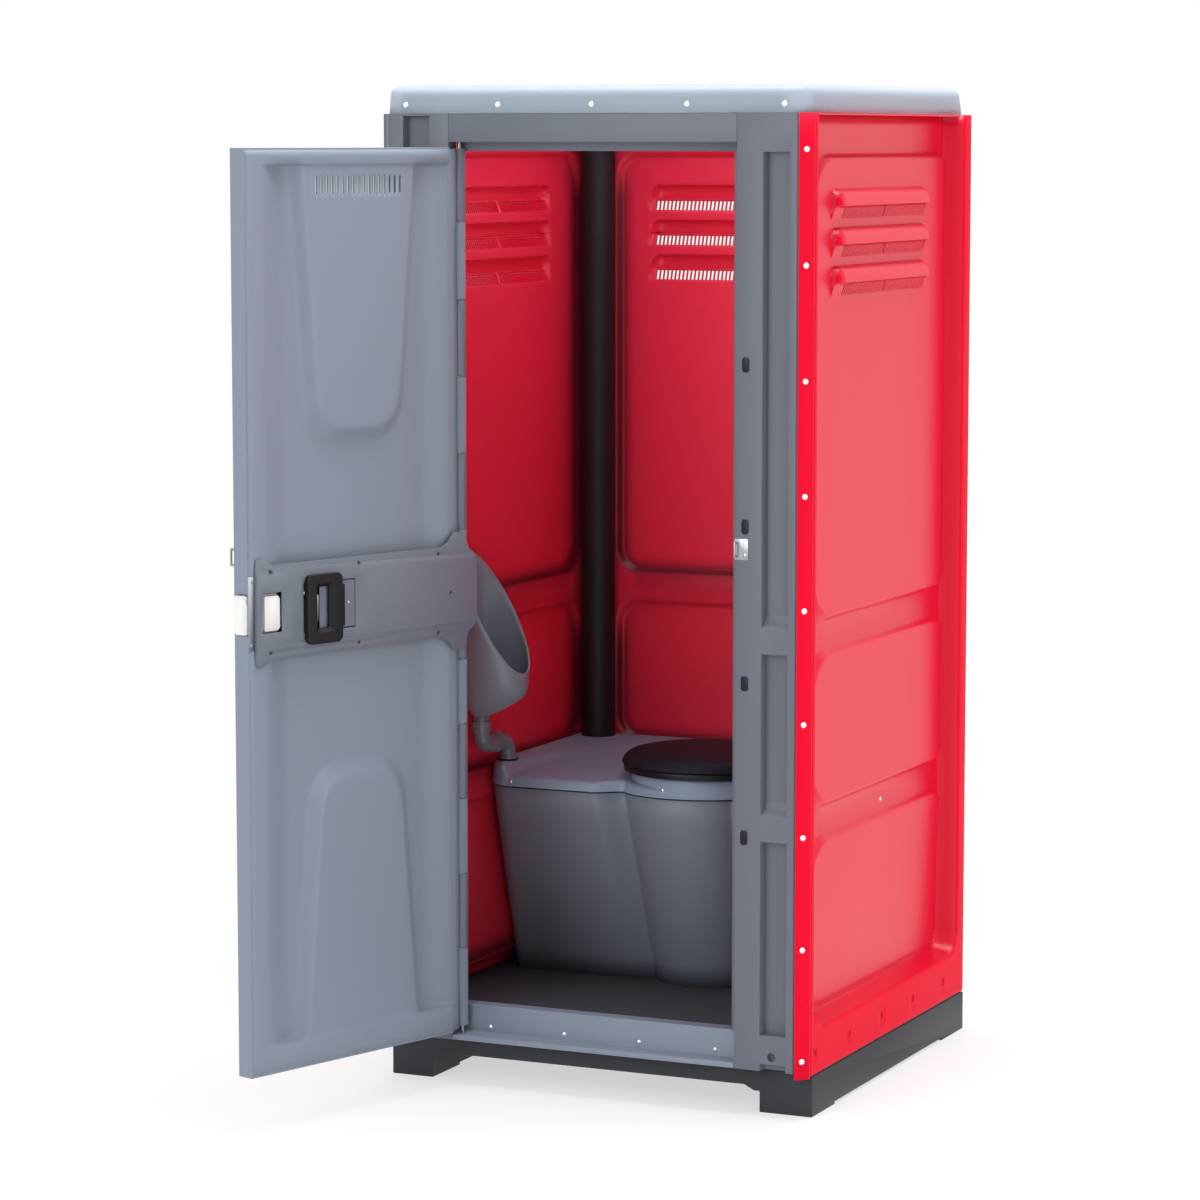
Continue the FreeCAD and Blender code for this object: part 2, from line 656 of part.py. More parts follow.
def make_inner_skin():
    shape = inner_relief(0).cut(inner_relief(skin))
    web = door_prism([(knuckle_r + 1.5, -1.5), (bevel_foot + 6, -1.5), (bevel_foot + 13.5, t_in - 8 - skin),
                      (bevel_foot + 13.5, t_in - 8), (knuckle_r + 1.5, t_in - 8)], door_low, door_high)
    edge = door_prism([(12, 2), (knuckle_r + 4, 2), (knuckle_r + 4, t_in), (12, t_in)], door_low, door_high)
    shape = shape.fuse([web, edge])
    solids = []
    for low, high in knuckle_spans(0):
        shape = shape.cut(knuckle(low - knuckle_gap / 2, high + knuckle_gap / 2, 1.0))
    for low, high in knuckle_spans(1):
        lug = door_box(0, -1.5, low, knuckle_r + 2, t_in, high)
        solids += [lug, knuckle(low, high)]
    shape = shape.fuse(solids)
    bottom = door_low + knuckle_end
    ends = [knuckle(door_high - 2, door_high + 20, 1.0), knuckle(door_low - 1, bottom, 1.0)]
    opening = door_box(door_edge - case_from, t_out, bolt_low - 14, door_edge + 1, t_in + 1, bolt_high + 14)
    return shape.cut(ends + [rod_bore(), opening] + vent_slots()).removeSplitter()


def make_outer_skin():
    outline = [(bevel_s, t_out), (door_edge, t_out), (door_edge, t_in), (bevel_foot, t_in), (bevel_foot, 0)]
    shape = door_prism(outline, door_low, door_high)
    inside = [(bevel_s + skin, t_out + skin), (door_edge - skin, t_out + skin), (door_edge - skin, t_in + 1),
              (bevel_foot - 1, t_in + 1), (bevel_foot - 1, -1.5 - seat_gap), (bevel_foot + 5, -1.5 - seat_gap)]
    shape = shape.cut(door_prism(inside, door_low + skin, door_high - skin))
    trims = door_box(0, -1.5 - seat_gap, door_low - 1, bevel_foot + 13.5, t_in + 1, door_high + 1)
    nose = door_box(door_edge - skin - 1, bolt_t0 - 1.5, bolt_low - 2, door_edge + 1, t_in + 1, bolt_high + 2)
    for upper in (True, False):
        shape = shape.cut(skin_rings([[V(axis_x + s, axis_y + t, z) for s, z in boss_outline(depth, upper)]
                                      for depth, t in ((0, t_out - 1), (0.4, t_out + 3))]))
    return shape.cut([trims, nose] + vent_slots()).removeSplitter()


def make_rod():
    """The hinge rod, from the sill ledge to the doorway top."""
    return Part.makeCylinder(rod_r, open_top - sill_ledge - 2 * seat_gap, V(axis_x, axis_y, sill_ledge + seat_gap))


# Latch

def make_latch_case():
    """The tray in the door that the bolt slides in, with two rails under it."""
    gap = seat_gap
    z0, z1 = bolt_low - 14 + gap, bolt_high + 14 - gap
    s0, s1 = door_edge - case_from + gap, door_edge - skin - gap
    shell = door_box(s0, t_out + skin, z0, s1, t_in - 0.5, z1)
    hollow = door_box(s0 + case_wall, t_out + skin + case_wall, z0 + case_wall, s1 + 1, t_in + 1, z1 - case_wall)
    rails = [door_box(s0 + case_wall, t_out + skin + 1, z - 5, s1, bolt_t0 - seat_gap, z + 5)
             for z in (bolt_low + 14, bolt_high - 14)]
    return shell.cut(hollow).fuse(rails).removeSplitter()


def make_bolt():
    """The white bolt: a nose that leaves the door edge, and a thumb pad under the cover window."""
    tip = door_edge + bolt_out
    nose = door_box(tip - bolt_len, bolt_t0, bolt_low, tip, bolt_t1, bolt_high)
    edges = [e for e in nose.Edges if abs(e.tangentAt(e.FirstParameter).y) > 0.9 and e.CenterOfMass.x > axis_x + tip - 1]
    nose = nose.makeFillet(6, edges)
    pad = door_box(door_edge - pad_from, bolt_t1 - 2, bolt_low + 4, door_edge - pad_to, cover_t - 4, bolt_high - 4)
    edges = [e for e in pad.Edges if abs(e.tangentAt(e.FirstParameter).y) > 0.9
             and e.CenterOfMass.x < axis_x + door_edge - pad_from + 1]
    return nose.fuse(pad.makeFillet(11, edges)).removeSplitter()


def make_slide():
    """The steel slide behind the cover that joins handle and bolt."""
    s1 = door_edge - pad_from - 3
    plate = door_box(door_edge - case_from + case_wall + 20, bolt_t0, bolt_low + 8, s1, bolt_t0 + 4, bolt_high - 8)
    riser = door_box(handle_s0 + 20, bolt_t0 + 3, bolt_low + 14, handle_s1 - 20, cover_t - cover_skin - 3, bolt_high - 14)
    hollow = door_box(handle_s0 + 24, bolt_t0 + 4, bolt_low + 18, handle_s1 - 24, cover_t - 9, bolt_high - 18)
    return plate.fuse(riser.cut(hollow)).removeSplitter()


def cover_outline():
    """The latch cover's outline: flared at both ends, as (s, z) points."""
    low, high = cover_low, cover_high
    upper = [(cover_free, high - 2), (cover_free - 3, high + 20), (cover_free - 18, high + 24),
             (cover_free - 48, high + 6), (81, high + 6), (60, high + 16), (39, high + 38), (7, high + 34),
             (-8, high - 4)]
    upper += [(cover_hinge + 2, high - 12), (cover_hinge, high - 18)]
    lower = [(s, low + high - z) for s, z in upper]
    return upper + lower[::-1]


def cover_band(depth, t):
    """The raised middle band's outline at its foot (0) or top (1)."""
    grow = cover_band_in * (1 - depth)
    low, high = cover_low + cover_band_in, cover_high - cover_band_in
    return [V(axis_x + s, axis_y + t, z) for s, z in (
        (cover_free - 1, low - grow), (cover_free - 1, high + grow),
        (cover_hinge, high + grow * 0.4), (cover_hinge, low - grow * 0.4))]


def cover_screw_places():
    return [(s, z) for s in (cover_free - 43, cover_free - 312, 93.0) for z in (cover_low + 8, cover_high - 8)]


def cover_body(o):
    flat = door_face(cover_outline(), t_in + seat_gap - (1 if o else 0), t_in + seat_gap + 4 - o)
    return flat.fuse(skin_rings([cover_band(0, t_in + 4 - o), cover_band(1, cover_t - o)]))


def tapered_cut(s0, z0, s1, z1, t0, t1, grow):
    """A four-sided cutter from t0 to t1, wider by grow at t1."""
    rings = []
    for t, g in ((t0, 0), (t1, grow)):
        rings.append([V(axis_x + s, axis_y + t, z) for s, z in (
            (s0 - g, z0 - g), (s1 + g, z0 - g), (s1 + g, z1 + g), (s0 - g, z1 + g))])
    return skin_rings(rings)


def make_cover():
    """The moulded cover across the door's inner side, hollow behind its raised band."""
    shape = cover_body(0)
    hollow = cover_body(cover_skin).common(door_box(cover_hinge + 4, t_in - 2, cover_low + 14,
                                                     cover_free - 3, cover_t, cover_high - 14))
    barrel = door_box(cover_hinge - 1, t_in - 2, cover_low - 60, knuckle_r - 2, t_in + 3.5, cover_high + 60)
    window = door_box(door_edge - pad_from - 2, t_in - 2, bolt_low + 1, door_edge - pad_to + 12, cover_t + 1,
                      bolt_high + 3)
    slot = door_box(handle_s0 - 30, t_in - 2, bolt_low - 8, handle_s1 + 2, cover_t + 1, bolt_high + 16)
    dish = tapered_cut(handle_s0 - 92, handle_z0 - 10, handle_s1 + 16, handle_z1 + 10, cover_t - 1.5, cover_t + 1, 10)
    flats = [skin_rings([round_ring(V(axis_x + s, axis_y + t, z), V(0, 1, 0), V(0, 0, 1), 7, 8)
                         for t in (t_in + screw_seat, t_in + screw_seat + 20)]) for s, z in cover_screw_places()]
    return shape.cut([hollow, barrel, window, slot, dish] + flats).removeSplitter()


def make_handle():
    """The black pull frame on the slide, with a chamfered finger hole."""
    t0, t1 = cover_t + seat_gap, cover_t + 12
    rings = []
    for t, in_by in ((t0, 0), (t1 - 3, 0), (t1, 3)):
        points = ring_points(handle_s0 + 20 + in_by, handle_z0 + in_by, handle_s1 - in_by, handle_z1 - in_by,
                             handle_round - in_by, handle_round - in_by)
        rings.append([V(axis_x + s, axis_y + t, z) for s, z in points])
    plate = skin_rings(rings)
    tab = door_box(handle_s0, t0, handle_z0 + 30, handle_s0 + 24, t1 - 1, handle_z1 - 22)
    stem = door_box(handle_s0 + 28, cover_t - cover_skin - 3, bolt_low + 20, handle_s1 - 28, t0 + 1, bolt_high - 20)
    hole = (handle_s1 - 70, handle_z0 + 34, handle_s1 - 34, handle_z1 - 29)
    through = tapered_cut(*hole, cover_t - 8, t0 + 6, 0)
    flare = tapered_cut(*hole, t0 + 5, t1 + 1, 9)
    return plate.fuse([tab, stem]).cut([through, flare]).removeSplitter()


def make_guide_plate():
    """The steel plate over the bolt's way out, on the door's inner rim."""
    return door_box(cover_free + 0.5, t_in, guide_low, door_edge - 0.5, t_in + 1.5, guide_high)


def make_door_staple():
    low, high = staple_low - 1, staple_high - 3
    plate = door_box(door_edge - 41, t_out - 1.5, low, door_edge - 2, t_out, high)
    bar = door_box(door_edge - 8, t_out - 17, low + 3, door_edge - 4, t_out - 1, high - 3)
    eye = door_box(door_edge - 9, t_out - 13, low + 9, door_edge - 3, t_out - 1.5, high - 9)
    return plate.fuse(bar).cut(eye).removeSplitter()


def make_outer_pull():
    """The pull handle on the door's outer side."""
    s0, s1, low, high = door_edge - 81, door_edge - 61, pull_low, pull_high
    grip = door_box(s0, t_out - 38, low, s1, t_out - 26, high)
    feet = [door_box(s0, t_out - 38, z, s1, t_out, z + 22) for z in (low, high - 22)]
    shape = grip.fuse(feet).removeSplitter()
    edges = [e for e in shape.Edges if e.CenterOfMass.y < axis_y + t_out - 37]
    return shape.makeChamfer(4, edges)


# Tank, deck and seat

def round_pad(profile):
    """A many-sided round body about the seat's middle, from (radius, height) pairs."""
    rings = [round_ring(V(seat_x, seat_y, z), V(0, 0, 1), V(1, 0, 0), r, round_sides) for r, z in profile]
    return skin_rings(rings)


def lid_boss(x, r):
    """A round eye for the lid's pin, drawn many-sided, from x to x + 12."""
    ends = [round_ring(V(at, lid_axis_y, lid_axis_z), V(1, 0, 0), V(0, 0, 1), r, 12) for at in (x, x + 12)]
    return skin_rings(ends)


def pin_bore(r):
    """The many-sided bore that a pin of radius r just fits into."""
    r /= math.cos(math.pi / 12)
    ends = [round_ring(V(seat_x + x, lid_axis_y, lid_axis_z), V(1, 0, 0), V(0, 0, 1), r, 12) for x in (-140, 140)]
    return skin_rings(ends)


def tank_ring(z, w, side_y, lobe_y, valley_half, valley_y, bulge_y, o):
    """The tank's plan outline at height z: two front lobes and the pedestal bulge between."""
    w, rear = w - o, tank_rear - o
    left, right = 24 - valley_half, 24 + valley_half
    a, b = V(-w, rear, z), V(-w, side_y + o, z)
    c, d = V(left, valley_y + o, z), V(right, valley_y + o, z)
    e, f = V(w, side_y + o, z), V(w, rear, z)
    arcs = [(b, V((left - w) / 2 - 20, lobe_y + o, z), c, 5), (c, V(24, bulge_y + o, z), d, 13),
            (d, V((right + w) / 2 + 20, lobe_y + o, z), e, 5)]
    ring = [a]
    for start, middle, end, count in arcs:
        ring += Part.Arc(start, middle, end).toShape().discretize(count)[:-1]
    return ring + [e, f]


def tank_loft(o):
    low = tank_ring(floor_top + o, tank_half, 30, 60, 112, 57, 4, o)
    high = tank_ring(rim_z + (5 if o else 0), tank_half, -99, -120, 136, -78, -135, o)
    return skin_rings([low, high])


def deck_block(o):
    """The deck's outer body, thinned by o all round."""
    low = tank_ring(rim_z - (2 if o else 0), tank_half + 2, -101, -122, 137, -80, -137, o)
    high = tank_ring(deck_z - o, tank_half, -80, -100, 150, -66, -112, o)
    block = skin_rings([low, high])
    slope = [(-200, deck_front_z - 9.1 - o), (310, deck_z - o), (310, deck_z + 20), (-200, deck_z + 20)]
    left = [(in_by + o - tank_half, y) for in_by, y in ((35, -200), (35, -59), (56, 106), (108, 311))]
    right = [(-x, y) for x, y in left[::-1]]
    block = block.cut(prism_x(slope, -half, half).common(prism_z(left + right, deck_front_z - 30, deck_z + 20)))
    start = rim_z - (2 if o else 0)
    return block.fuse(round_pad([(collar_r - o, start), (collar_r - o, collar_z - o)]))


def make_tank():
    return tank_loft(0).cut(tank_loft(tank_t)).removeSplitter()


def make_deck():
    shape = deck_block(0).cut(deck_block(tank_t))
    hole = round_pad([(hole_r, rim_z - 10), (hole_r, deck_z + 30)])
    vent = many_sided_rod(vent_r - vent_t - 1, deck_z - 30, deck_z + 30, vent_x, vent_y, 16)
    drain = many_sided_rod(drain_r - drain_t - 1, deck_z - 30, deck_z + 30, drain_in_x, drain_in_y, 12)
    return shape.cut([hole, vent, drain]).removeSplitter()


def crowned_disc(r, z0, z1, crown):
    """A round pad over the seat: an upright edge, then slopes that close into its top."""
    slope = [(r - crown, z1)] if crown < 10 else [(r - crown * 0.45, z1 - crown * 0.4), (r - crown * 1.6, z1)]
    return round_pad([(r, z0), (r, z1 - crown)] + slope)


def make_seat_ring():
    shape = crowned_disc(seat_r, collar_z, ring_top, 6)
    shape = shape.cut(round_pad([(hole_r + 4, collar_z - 20), (hole_r + 4, ring_top + 20)]))
    solids = []
    for x in (seat_x - lug_x - 22, seat_x + lug_x + 10):
        solids.append(box(x, seat_y + 130, collar_z, x + 12, lid_axis_y - 6, ring_top - 2))
        solids.append(box(x, lid_axis_y - 12, collar_z, x + 12, lid_axis_y + 12, lid_axis_z))
        solids.append(lid_boss(x, 12))
    bore = pin_bore(pin_r)
    slope = (deck_z - deck_front_z + 9.1) / 510.0
    under = [(y, deck_z - slope * (310 - y)) for y in (150, 320)] + [(320, 600), (150, 600)]
    return shape.fuse(solids).cut([bore, prism_x(under, -300, 400)]).removeSplitter()


def make_lid():
    low = ring_top + seat_gap
    shape = crowned_disc(seat_r + lid_r, low, lid_top, 18)
    solids = []
    for x in (seat_x - lug_x - 6, seat_x + lug_x - 6):
        solids.append(box(x, seat_y + 150, low, x + 12, lid_axis_y, lid_axis_z + 10))
        solids.append(lid_boss(x, 10))
    bore = pin_bore(pin_r + run_gap)
    return shape.fuse(solids).cut(bore).removeSplitter()


def make_lid_pin():
    length = 2 * lug_x + 44
    return Part.makeCylinder(pin_r, length, V(seat_x - length / 2, lid_axis_y, lid_axis_z), V(1, 0, 0))


# Vent stack, urinal and drain

def make_vent():
    return tube(vent_r, vent_r - vent_t, deck_z, roof_top + 6, vent_x, vent_y)


def oval(centre, along, a, b, sides=24):
    """An oval ring round centre: half length a along the given direction, half width b along Y."""
    axis = V(*along).normalize()
    turns = [2 * math.pi * i / sides for i in range(sides)]
    return [V(*centre) + axis * (a * math.cos(t)) + V(0, b * math.sin(t), 0) for t in turns]


def urinal_body(o):
    """The bowl's solid, thinned by o: an oval mouth drawn down to the drain."""
    y, lift = urinal_y, 2.0 if o else 0.0
    rings = [
        oval((urinal_back + 77.7 + 0.868 * lift, y, 1070 + 0.497 * lift), (0.497, 0, -0.868), 150 - o, 122 - o),
        oval((urinal_back + 65.7, y, 1028), (0.6, 0, -0.8), 131 - o, 115 - o),
        oval((urinal_back + 51.7, y, 975), (0.74, 0, -0.67), 103 - o, 99 - o),
        oval((urinal_back + 40.7, y, 925), (0.86, 0, -0.5), 72 - o, 76 - o),
        oval((urinal_back + 30.7, y, 878), (0.96, 0, -0.28), 44 - o, 50 - o),
        oval((drain_x, y, 836), (1, 0, 0), 25 - o, 26 - o),
        oval((drain_x, y, 812 - lift), (1, 0, 0), 22 - o, 22 - o)]
    body = skin_rings(rings)
    return body.common(box(urinal_back + o, y - 200, 700, urinal_back + half, y + 200, 1400))


def make_urinal():
    return urinal_body(0).cut(urinal_body(5))


def bend(corner, from_dir, to_dir, lead_in, lead_out, r, sides=16):
    """The rings of a pipe round one corner: straight, a quarter bend in three steps, straight."""
    centre = corner - from_dir * drain_bend + to_dir * drain_bend
    axis = from_dir.cross(to_dir)
    places = [(centre - to_dir * drain_bend - from_dir * lead_in, from_dir)]
    for i in range(4):
        a = math.pi / 6 * i
        heading = from_dir * math.cos(a) + to_dir * math.sin(a)
        places.append((centre + heading.cross(axis) * drain_bend, heading))
    places.append((centre + from_dir * drain_bend + to_dir * lead_out, to_dir))
    return [round_ring(at, heading, axis, r, sides) for at, heading in places]


def bent_pipe(*route):
    outer, inner = [skin_rings(bend(*route, r)) for r in (drain_r, drain_r - drain_t)]
    return outer.cut(inner)


def drain_parts():
    first = V(drain_x, urinal_y, drain_run_z)
    last = V(drain_in_x, drain_in_y, drain_run_z)
    along = (last - first).normalize()
    run = (last - first).Length - 2 * drain_bend
    down = V(0, 0, -1)
    joint = 784.0
    up = V(0, 0, 1)
    tail = many_sided_tube(V(drain_x, urinal_y, joint), up, drain_r, drain_r - drain_t, 28)
    upper = bent_pipe(first, down, along, joint - drain_run_z - drain_bend, run / 2)
    socket = many_sided_tube(V(drain_x, urinal_y, joint), up, socket_r, drain_r + run_gap, 18)
    collar = many_sided_tube(V(drain_x, urinal_y, joint - 8), up, socket_r, drain_r - 1, 8)
    upper = upper.fuse([socket, collar])
    lower = bent_pipe(last, along, down, run / 2, drain_run_z - drain_bend - deck_z)
    middle = first + along * (drain_bend + run / 2)
    sleeve = many_sided_tube(middle, along, socket_r, drain_r - 1, 16)
    foot = many_sided_tube(V(drain_in_x, drain_in_y, deck_z), up, socket_r, drain_r - 1, 10)
    lower = lower.fuse([sleeve, foot])
    return tail, upper.removeSplitter(), lower.removeSplitter()


# Rivets and screws

def heads(places, out, r, h):
    return [dome(at, out, r, h) for at in places]


def make_corner_rivets():
    """The rivets of the four upright corners."""
    pitch = (wall_top - rivet_last - rivet_first) / (rivet_rows - 1)
    heights = [rivet_first + i * pitch for i in range(rivet_rows)]
    middle = half - chamfer / 2
    k = math.sqrt(0.5)
    solids = heads([(middle, -middle, z) for z in heights], (k, -k, 0), rivet_r, rivet_h)
    solids += heads([(-half, -panel_edge - 8, z) for z in heights], (-1, 0, 0), rivet_r, rivet_h)
    for x in (26 - half, half - 26):
        solids += heads([(x, half, z) for z in heights], (0, 1, 0), rivet_r, rivet_h)
    return Part.makeCompound(solids)


def make_roof_rivets():
    draft = 3.0 / (roof_rise - roof_edge)
    pitch = (half - roof_in - roof_rivet_in) / 2
    places = [(4 + i * pitch, front + draft * roof_rivet_up, wall_top + roof_rivet_up) for i in (-2, -1, 0, 1, 2)]
    solids = heads(places, (0, -math.cos(draft), math.sin(draft)), rivet_r, rivet_h)
    return Part.makeCompound(solids)


def make_wall_screws():
    """The screws of the three walls' feet."""
    start, end = front + wall_screw_front, half - wall_screw_rear
    places = [start + i * (end - start) / 4 for i in range(5)]
    solids = heads([(half, y, wall_screw_z) for y in places], (1, 0, 0), screw_r + 1, screw_h)
    solids += heads([(-half, y, wall_screw_z) for y in places], (-1, 0, 0), screw_r + 1, screw_h)
    middle = (start + end) / 2
    solids += heads([(y - middle, half, wall_screw_z) for y in places], (0, 1, 0), screw_r + 1, screw_h)
    return Part.makeCompound(solids)


def make_sill_screws():
    start, end = open_left + sill_screw_left, open_right - sill_screw_right
    xs = [start + i * (end - start) / 3 for i in range(4)]
    return Part.makeCompound(heads([(x, sill_y, sill_screw_z) for x in xs], (0, -1, 0), screw_r, screw_h))


def make_cover_screws():
    middle = (cover_low + cover_high) / 2
    places = [(s, t_in + screw_seat, z) for s, z in cover_screw_places()] + [(cover_screw_s, cover_t, middle)]
    return Part.makeCompound([swing(dome((axis_x + s, axis_y + t, z), (0, 1, 0), 4.0, 2.0)) for s, t, z in places])


def make_guide_screws():
    solids = [swing(dome((axis_x + door_edge - 10, axis_y + t_in + 1.5, z), (0, 1, 0), 3.5, 1.1))
              for z in (guide_low + 13, guide_high - 12)]
    return Part.makeCompound(solids)


def make_tank_screws():
    reach = collar_r * math.cos(math.pi / round_sides)
    solids = []
    for turn in (-1.5, 1.5):
        a = turn * 2 * math.pi / round_sides
        out = (math.sin(a), -math.cos(a), 0)
        at = (seat_x + reach * out[0], seat_y + reach * out[1], collar_z - 22.7)
        solids.append(dome(at, out, screw_r, screw_h))
    return Part.makeCompound(solids)


save("base_pallet", make_base())
save("floor_tray", make_floor())
save("left_post", make_left_post())
save("right_post", make_right_post())
save("header_rail", make_header())
save("door_sill", make_sill())
save("jamb_plugs", make_plugs())
save("jamb_staple", make_jamb_staple())
right_wall = make_side_wall(True)
save("right_wall", right_wall)
save("left_wall", mirror_x(make_side_wall(False)))
save("rear_wall", make_rear_wall())
save("roof_cap", make_roof())
save("vent_collar", make_vent_collar())
save("hinge_rod", make_rod())
save("door_inner_skin", swing(make_inner_skin()))
save("door_outer_skin", swing(make_outer_skin()))
save("latch_case", swing(make_latch_case()))
save("latch_bolt", swing(make_bolt()))
save("latch_slide", swing(make_slide()))
save("latch_handle", swing(make_handle()))
save("latch_cover", swing(make_cover()))
save("bolt_guide_plate", swing(make_guide_plate()))
save("door_staple", swing(make_door_staple()))
save("outer_pull", swing(make_outer_pull()))
save("waste_tank", make_tank())
save("tank_deck", make_deck())
save("seat_ring", make_seat_ring())
save("seat_lid", make_lid())
save("lid_pin", make_lid_pin())
save("vent_pipe", make_vent())
save("urinal_bowl", make_urinal())
tail, upper_bend, lower_bend = drain_parts()
save("drain_tail", tail)
save("drain_upper_bend", upper_bend)
save("drain_lower_bend", lower_bend)
save("corner_rivets", make_corner_rivets())
save("roof_rivets", make_roof_rivets())
save("wall_screws", make_wall_screws())
save("sill_screws", make_sill_screws())
save("cover_screws", make_cover_screws())
save("guide_screws", make_guide_screws())
save("tank_screws", make_tank_screws())
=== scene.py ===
import bpy
import json
import math
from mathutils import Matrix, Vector


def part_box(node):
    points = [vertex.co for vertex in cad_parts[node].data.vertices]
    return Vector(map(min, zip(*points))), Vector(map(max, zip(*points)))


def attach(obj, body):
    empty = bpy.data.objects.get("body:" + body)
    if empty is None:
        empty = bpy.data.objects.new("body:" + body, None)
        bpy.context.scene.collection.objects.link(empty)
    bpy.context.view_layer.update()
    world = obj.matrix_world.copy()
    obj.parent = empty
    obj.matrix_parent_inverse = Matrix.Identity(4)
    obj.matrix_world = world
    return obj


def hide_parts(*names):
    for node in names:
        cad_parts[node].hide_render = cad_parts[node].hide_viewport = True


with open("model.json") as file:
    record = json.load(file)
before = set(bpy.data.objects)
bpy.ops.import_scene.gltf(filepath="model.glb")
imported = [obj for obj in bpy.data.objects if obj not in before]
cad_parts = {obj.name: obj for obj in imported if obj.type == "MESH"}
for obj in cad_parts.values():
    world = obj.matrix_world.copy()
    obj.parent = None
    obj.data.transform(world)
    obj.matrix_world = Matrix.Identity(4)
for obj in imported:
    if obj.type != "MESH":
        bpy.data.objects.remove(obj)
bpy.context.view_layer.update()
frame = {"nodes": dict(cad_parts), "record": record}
nodes = frame["nodes"]
slot_of = {part["node"]: part["material_slot"] for part in frame["record"]["subparts"]}
MM = 0.001

# Driving sizes in millimetres, as the solids have them

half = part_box("right_wall")[1].x / MM
wall_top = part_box("roof_cap")[0].z / MM
wall_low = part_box("left_wall")[0].z / MM
sheet, clearance = 4.0, 0.3
front_edge, rear_edge = 499.0, half - sheet - clearance
flange, draft = 50.0, 16.0
belt_depth, pillow_depth = 55.0, 40.0
field_edge, field_low, field_corner = half - flange, 196.0, 60.0
chamfer = 26.2

# Pillows: from and to in height, then along each wall, with the corners' radius at either end
pillow_rows = [(214.0, 614.0), (673.0, 1038.0), (1099.0, wall_top - 87.0)]
pillow_slope, pillow_lean = 16.0, 13.0
wide_corner = 110.0
pillow_ends = {"right_wall": (-405.0, 463.0, wide_corner, 38.0), "left_wall": (-463.0, 457.0, 38.0, 100.0),
               "rear_wall": (-463.0, 388.0, 38.0, 66.0)}

# Louvre hoods with their grilles, and the cups of the wall screws
hood_tops = [wall_top - down for down in (168.0, 254.0, 340.0)]
hood_height, hood_out, hood_corner, hood_round = 70.0, 25.0, 34.0, 30.0
hood_lip, hood_step, hood_grille = 38.0, 43.0, 9.0
hood_ends = (-302.0, 300.0)
grille_ends, grille_gap = (-239.0, 286.0), (14.0, 26.0)
grille_bars, bar_half, bar_deep = 50, 2.6, 3.0
cup_places = [i * 212.0 - 466.0 for i in range(5)]
cup_half, cup_z = 13.0, 145.0

# Seat, tank and urinal
seat_x, seat_y, lid_axis_y, lid_axis_z = 46.0, 48.0, 272.0, 712.0
tank_half = half - 62.0
tank_low, tank_high, deck_low = 160.3, 635.0, 639.0
lip_out, lip_drop, lip_back = 5.0, 13.0, 15.0
drain_at, drain_r = (-443.0, -40.0), 20.0
wall_face = belt_depth + sheet + clearance - half

# The door's own axes, with the door standing open as in the photograph
axis_x, axis_y = -338.0, -502.0
open_angle = math.radians(108)
along = (math.cos(open_angle), -math.sin(open_angle))
inward = (math.sin(open_angle), math.cos(open_angle))

# The door's inner face: heights t, its rim, the opening behind the latch cover and the vent slots
rim_t, strip_t, sunk_t, boss_height = 14.0, 6.0, -9.0, 19.0
rim_s, rim_low, rim_high = 537.0, 195.0, 2127.0
boss_s, boss_softness = 328.0, 9.0
latch_s, latch_low, latch_high = 372.0, 1099.0, 1213.0
slot_low, slot_high, slot_half, slot_pitch, slot_count = 2068.0, 2105.0, 2.5, 16.1, 17
knuckle_r = 13.5
knuckle_cuts = [137.0, 321.0, 496.3, 671.7, 847.0, 997.0, 1147.0, 1297.0, 1472.5, 1648.0, 1823.5, 1999.0,
                2166.0]


def on_door(s, t, z):
    """A place on the open door: s from the hinge axis, t inwards, z up."""
    return (axis_x + s * along[0] + t * inward[0], axis_y + s * along[1] + t * inward[1], z)


def paint(code):
    """A hex colour as written on a colour chart, turned to linear light."""
    channels = [int(code[i:i + 2], 16) / 255 for i in (1, 3, 5)]
    return tuple(c / 12.92 if c <= 0.04045 else ((c + 0.055) / 1.055) ** 2.4 for c in channels) + (1.0,)


def add(tree, kind, settings=None, **links):
    """Adds a node: settings go to its properties or sockets, links join its sockets to outputs."""
    made = tree.nodes.new(kind)
    for key, value in (settings or {}).items():
        if hasattr(made, key):
            setattr(made, key, value)
        else:
            made.inputs[key if not key.isdigit() else int(key)].default_value = value
    for key, output in links.items():
        name = key.replace("_", " ")
        socket = made.inputs[int(key[1:])] if key[0] == "i" and key[1:].isdigit() else made.inputs[name]
        tree.links.new(output, socket)
    return made


def new_material(name):
    """An empty node material with its output and its principled shader."""
    material = bpy.data.materials.new(name)
    material.use_nodes = True
    tree = material.node_tree
    tree.nodes.clear()
    shader = tree.nodes.new("ShaderNodeBsdfPrincipled")
    output = tree.nodes.new("ShaderNodeOutputMaterial")
    tree.links.new(shader.outputs[0], output.inputs[0])
    return material, tree, shader


def blend_tones(tree, shader, share, tone, deep):
    """Mixes a colour with its deeper tone by a changing share."""
    colour = add(tree, "ShaderNodeMix", {"data_type": "RGBA"}, i0=share)
    colour.inputs[6].default_value = paint(tone)
    colour.inputs[7].default_value = paint(deep)
    tree.links.new(colour.outputs[2], shader.inputs["Base Color"])


def noise_scale(width_mm):
    """The scale of a noise whose specks are about this wide: a speck is half a cell of the noise."""
    return 500.0 / width_mm


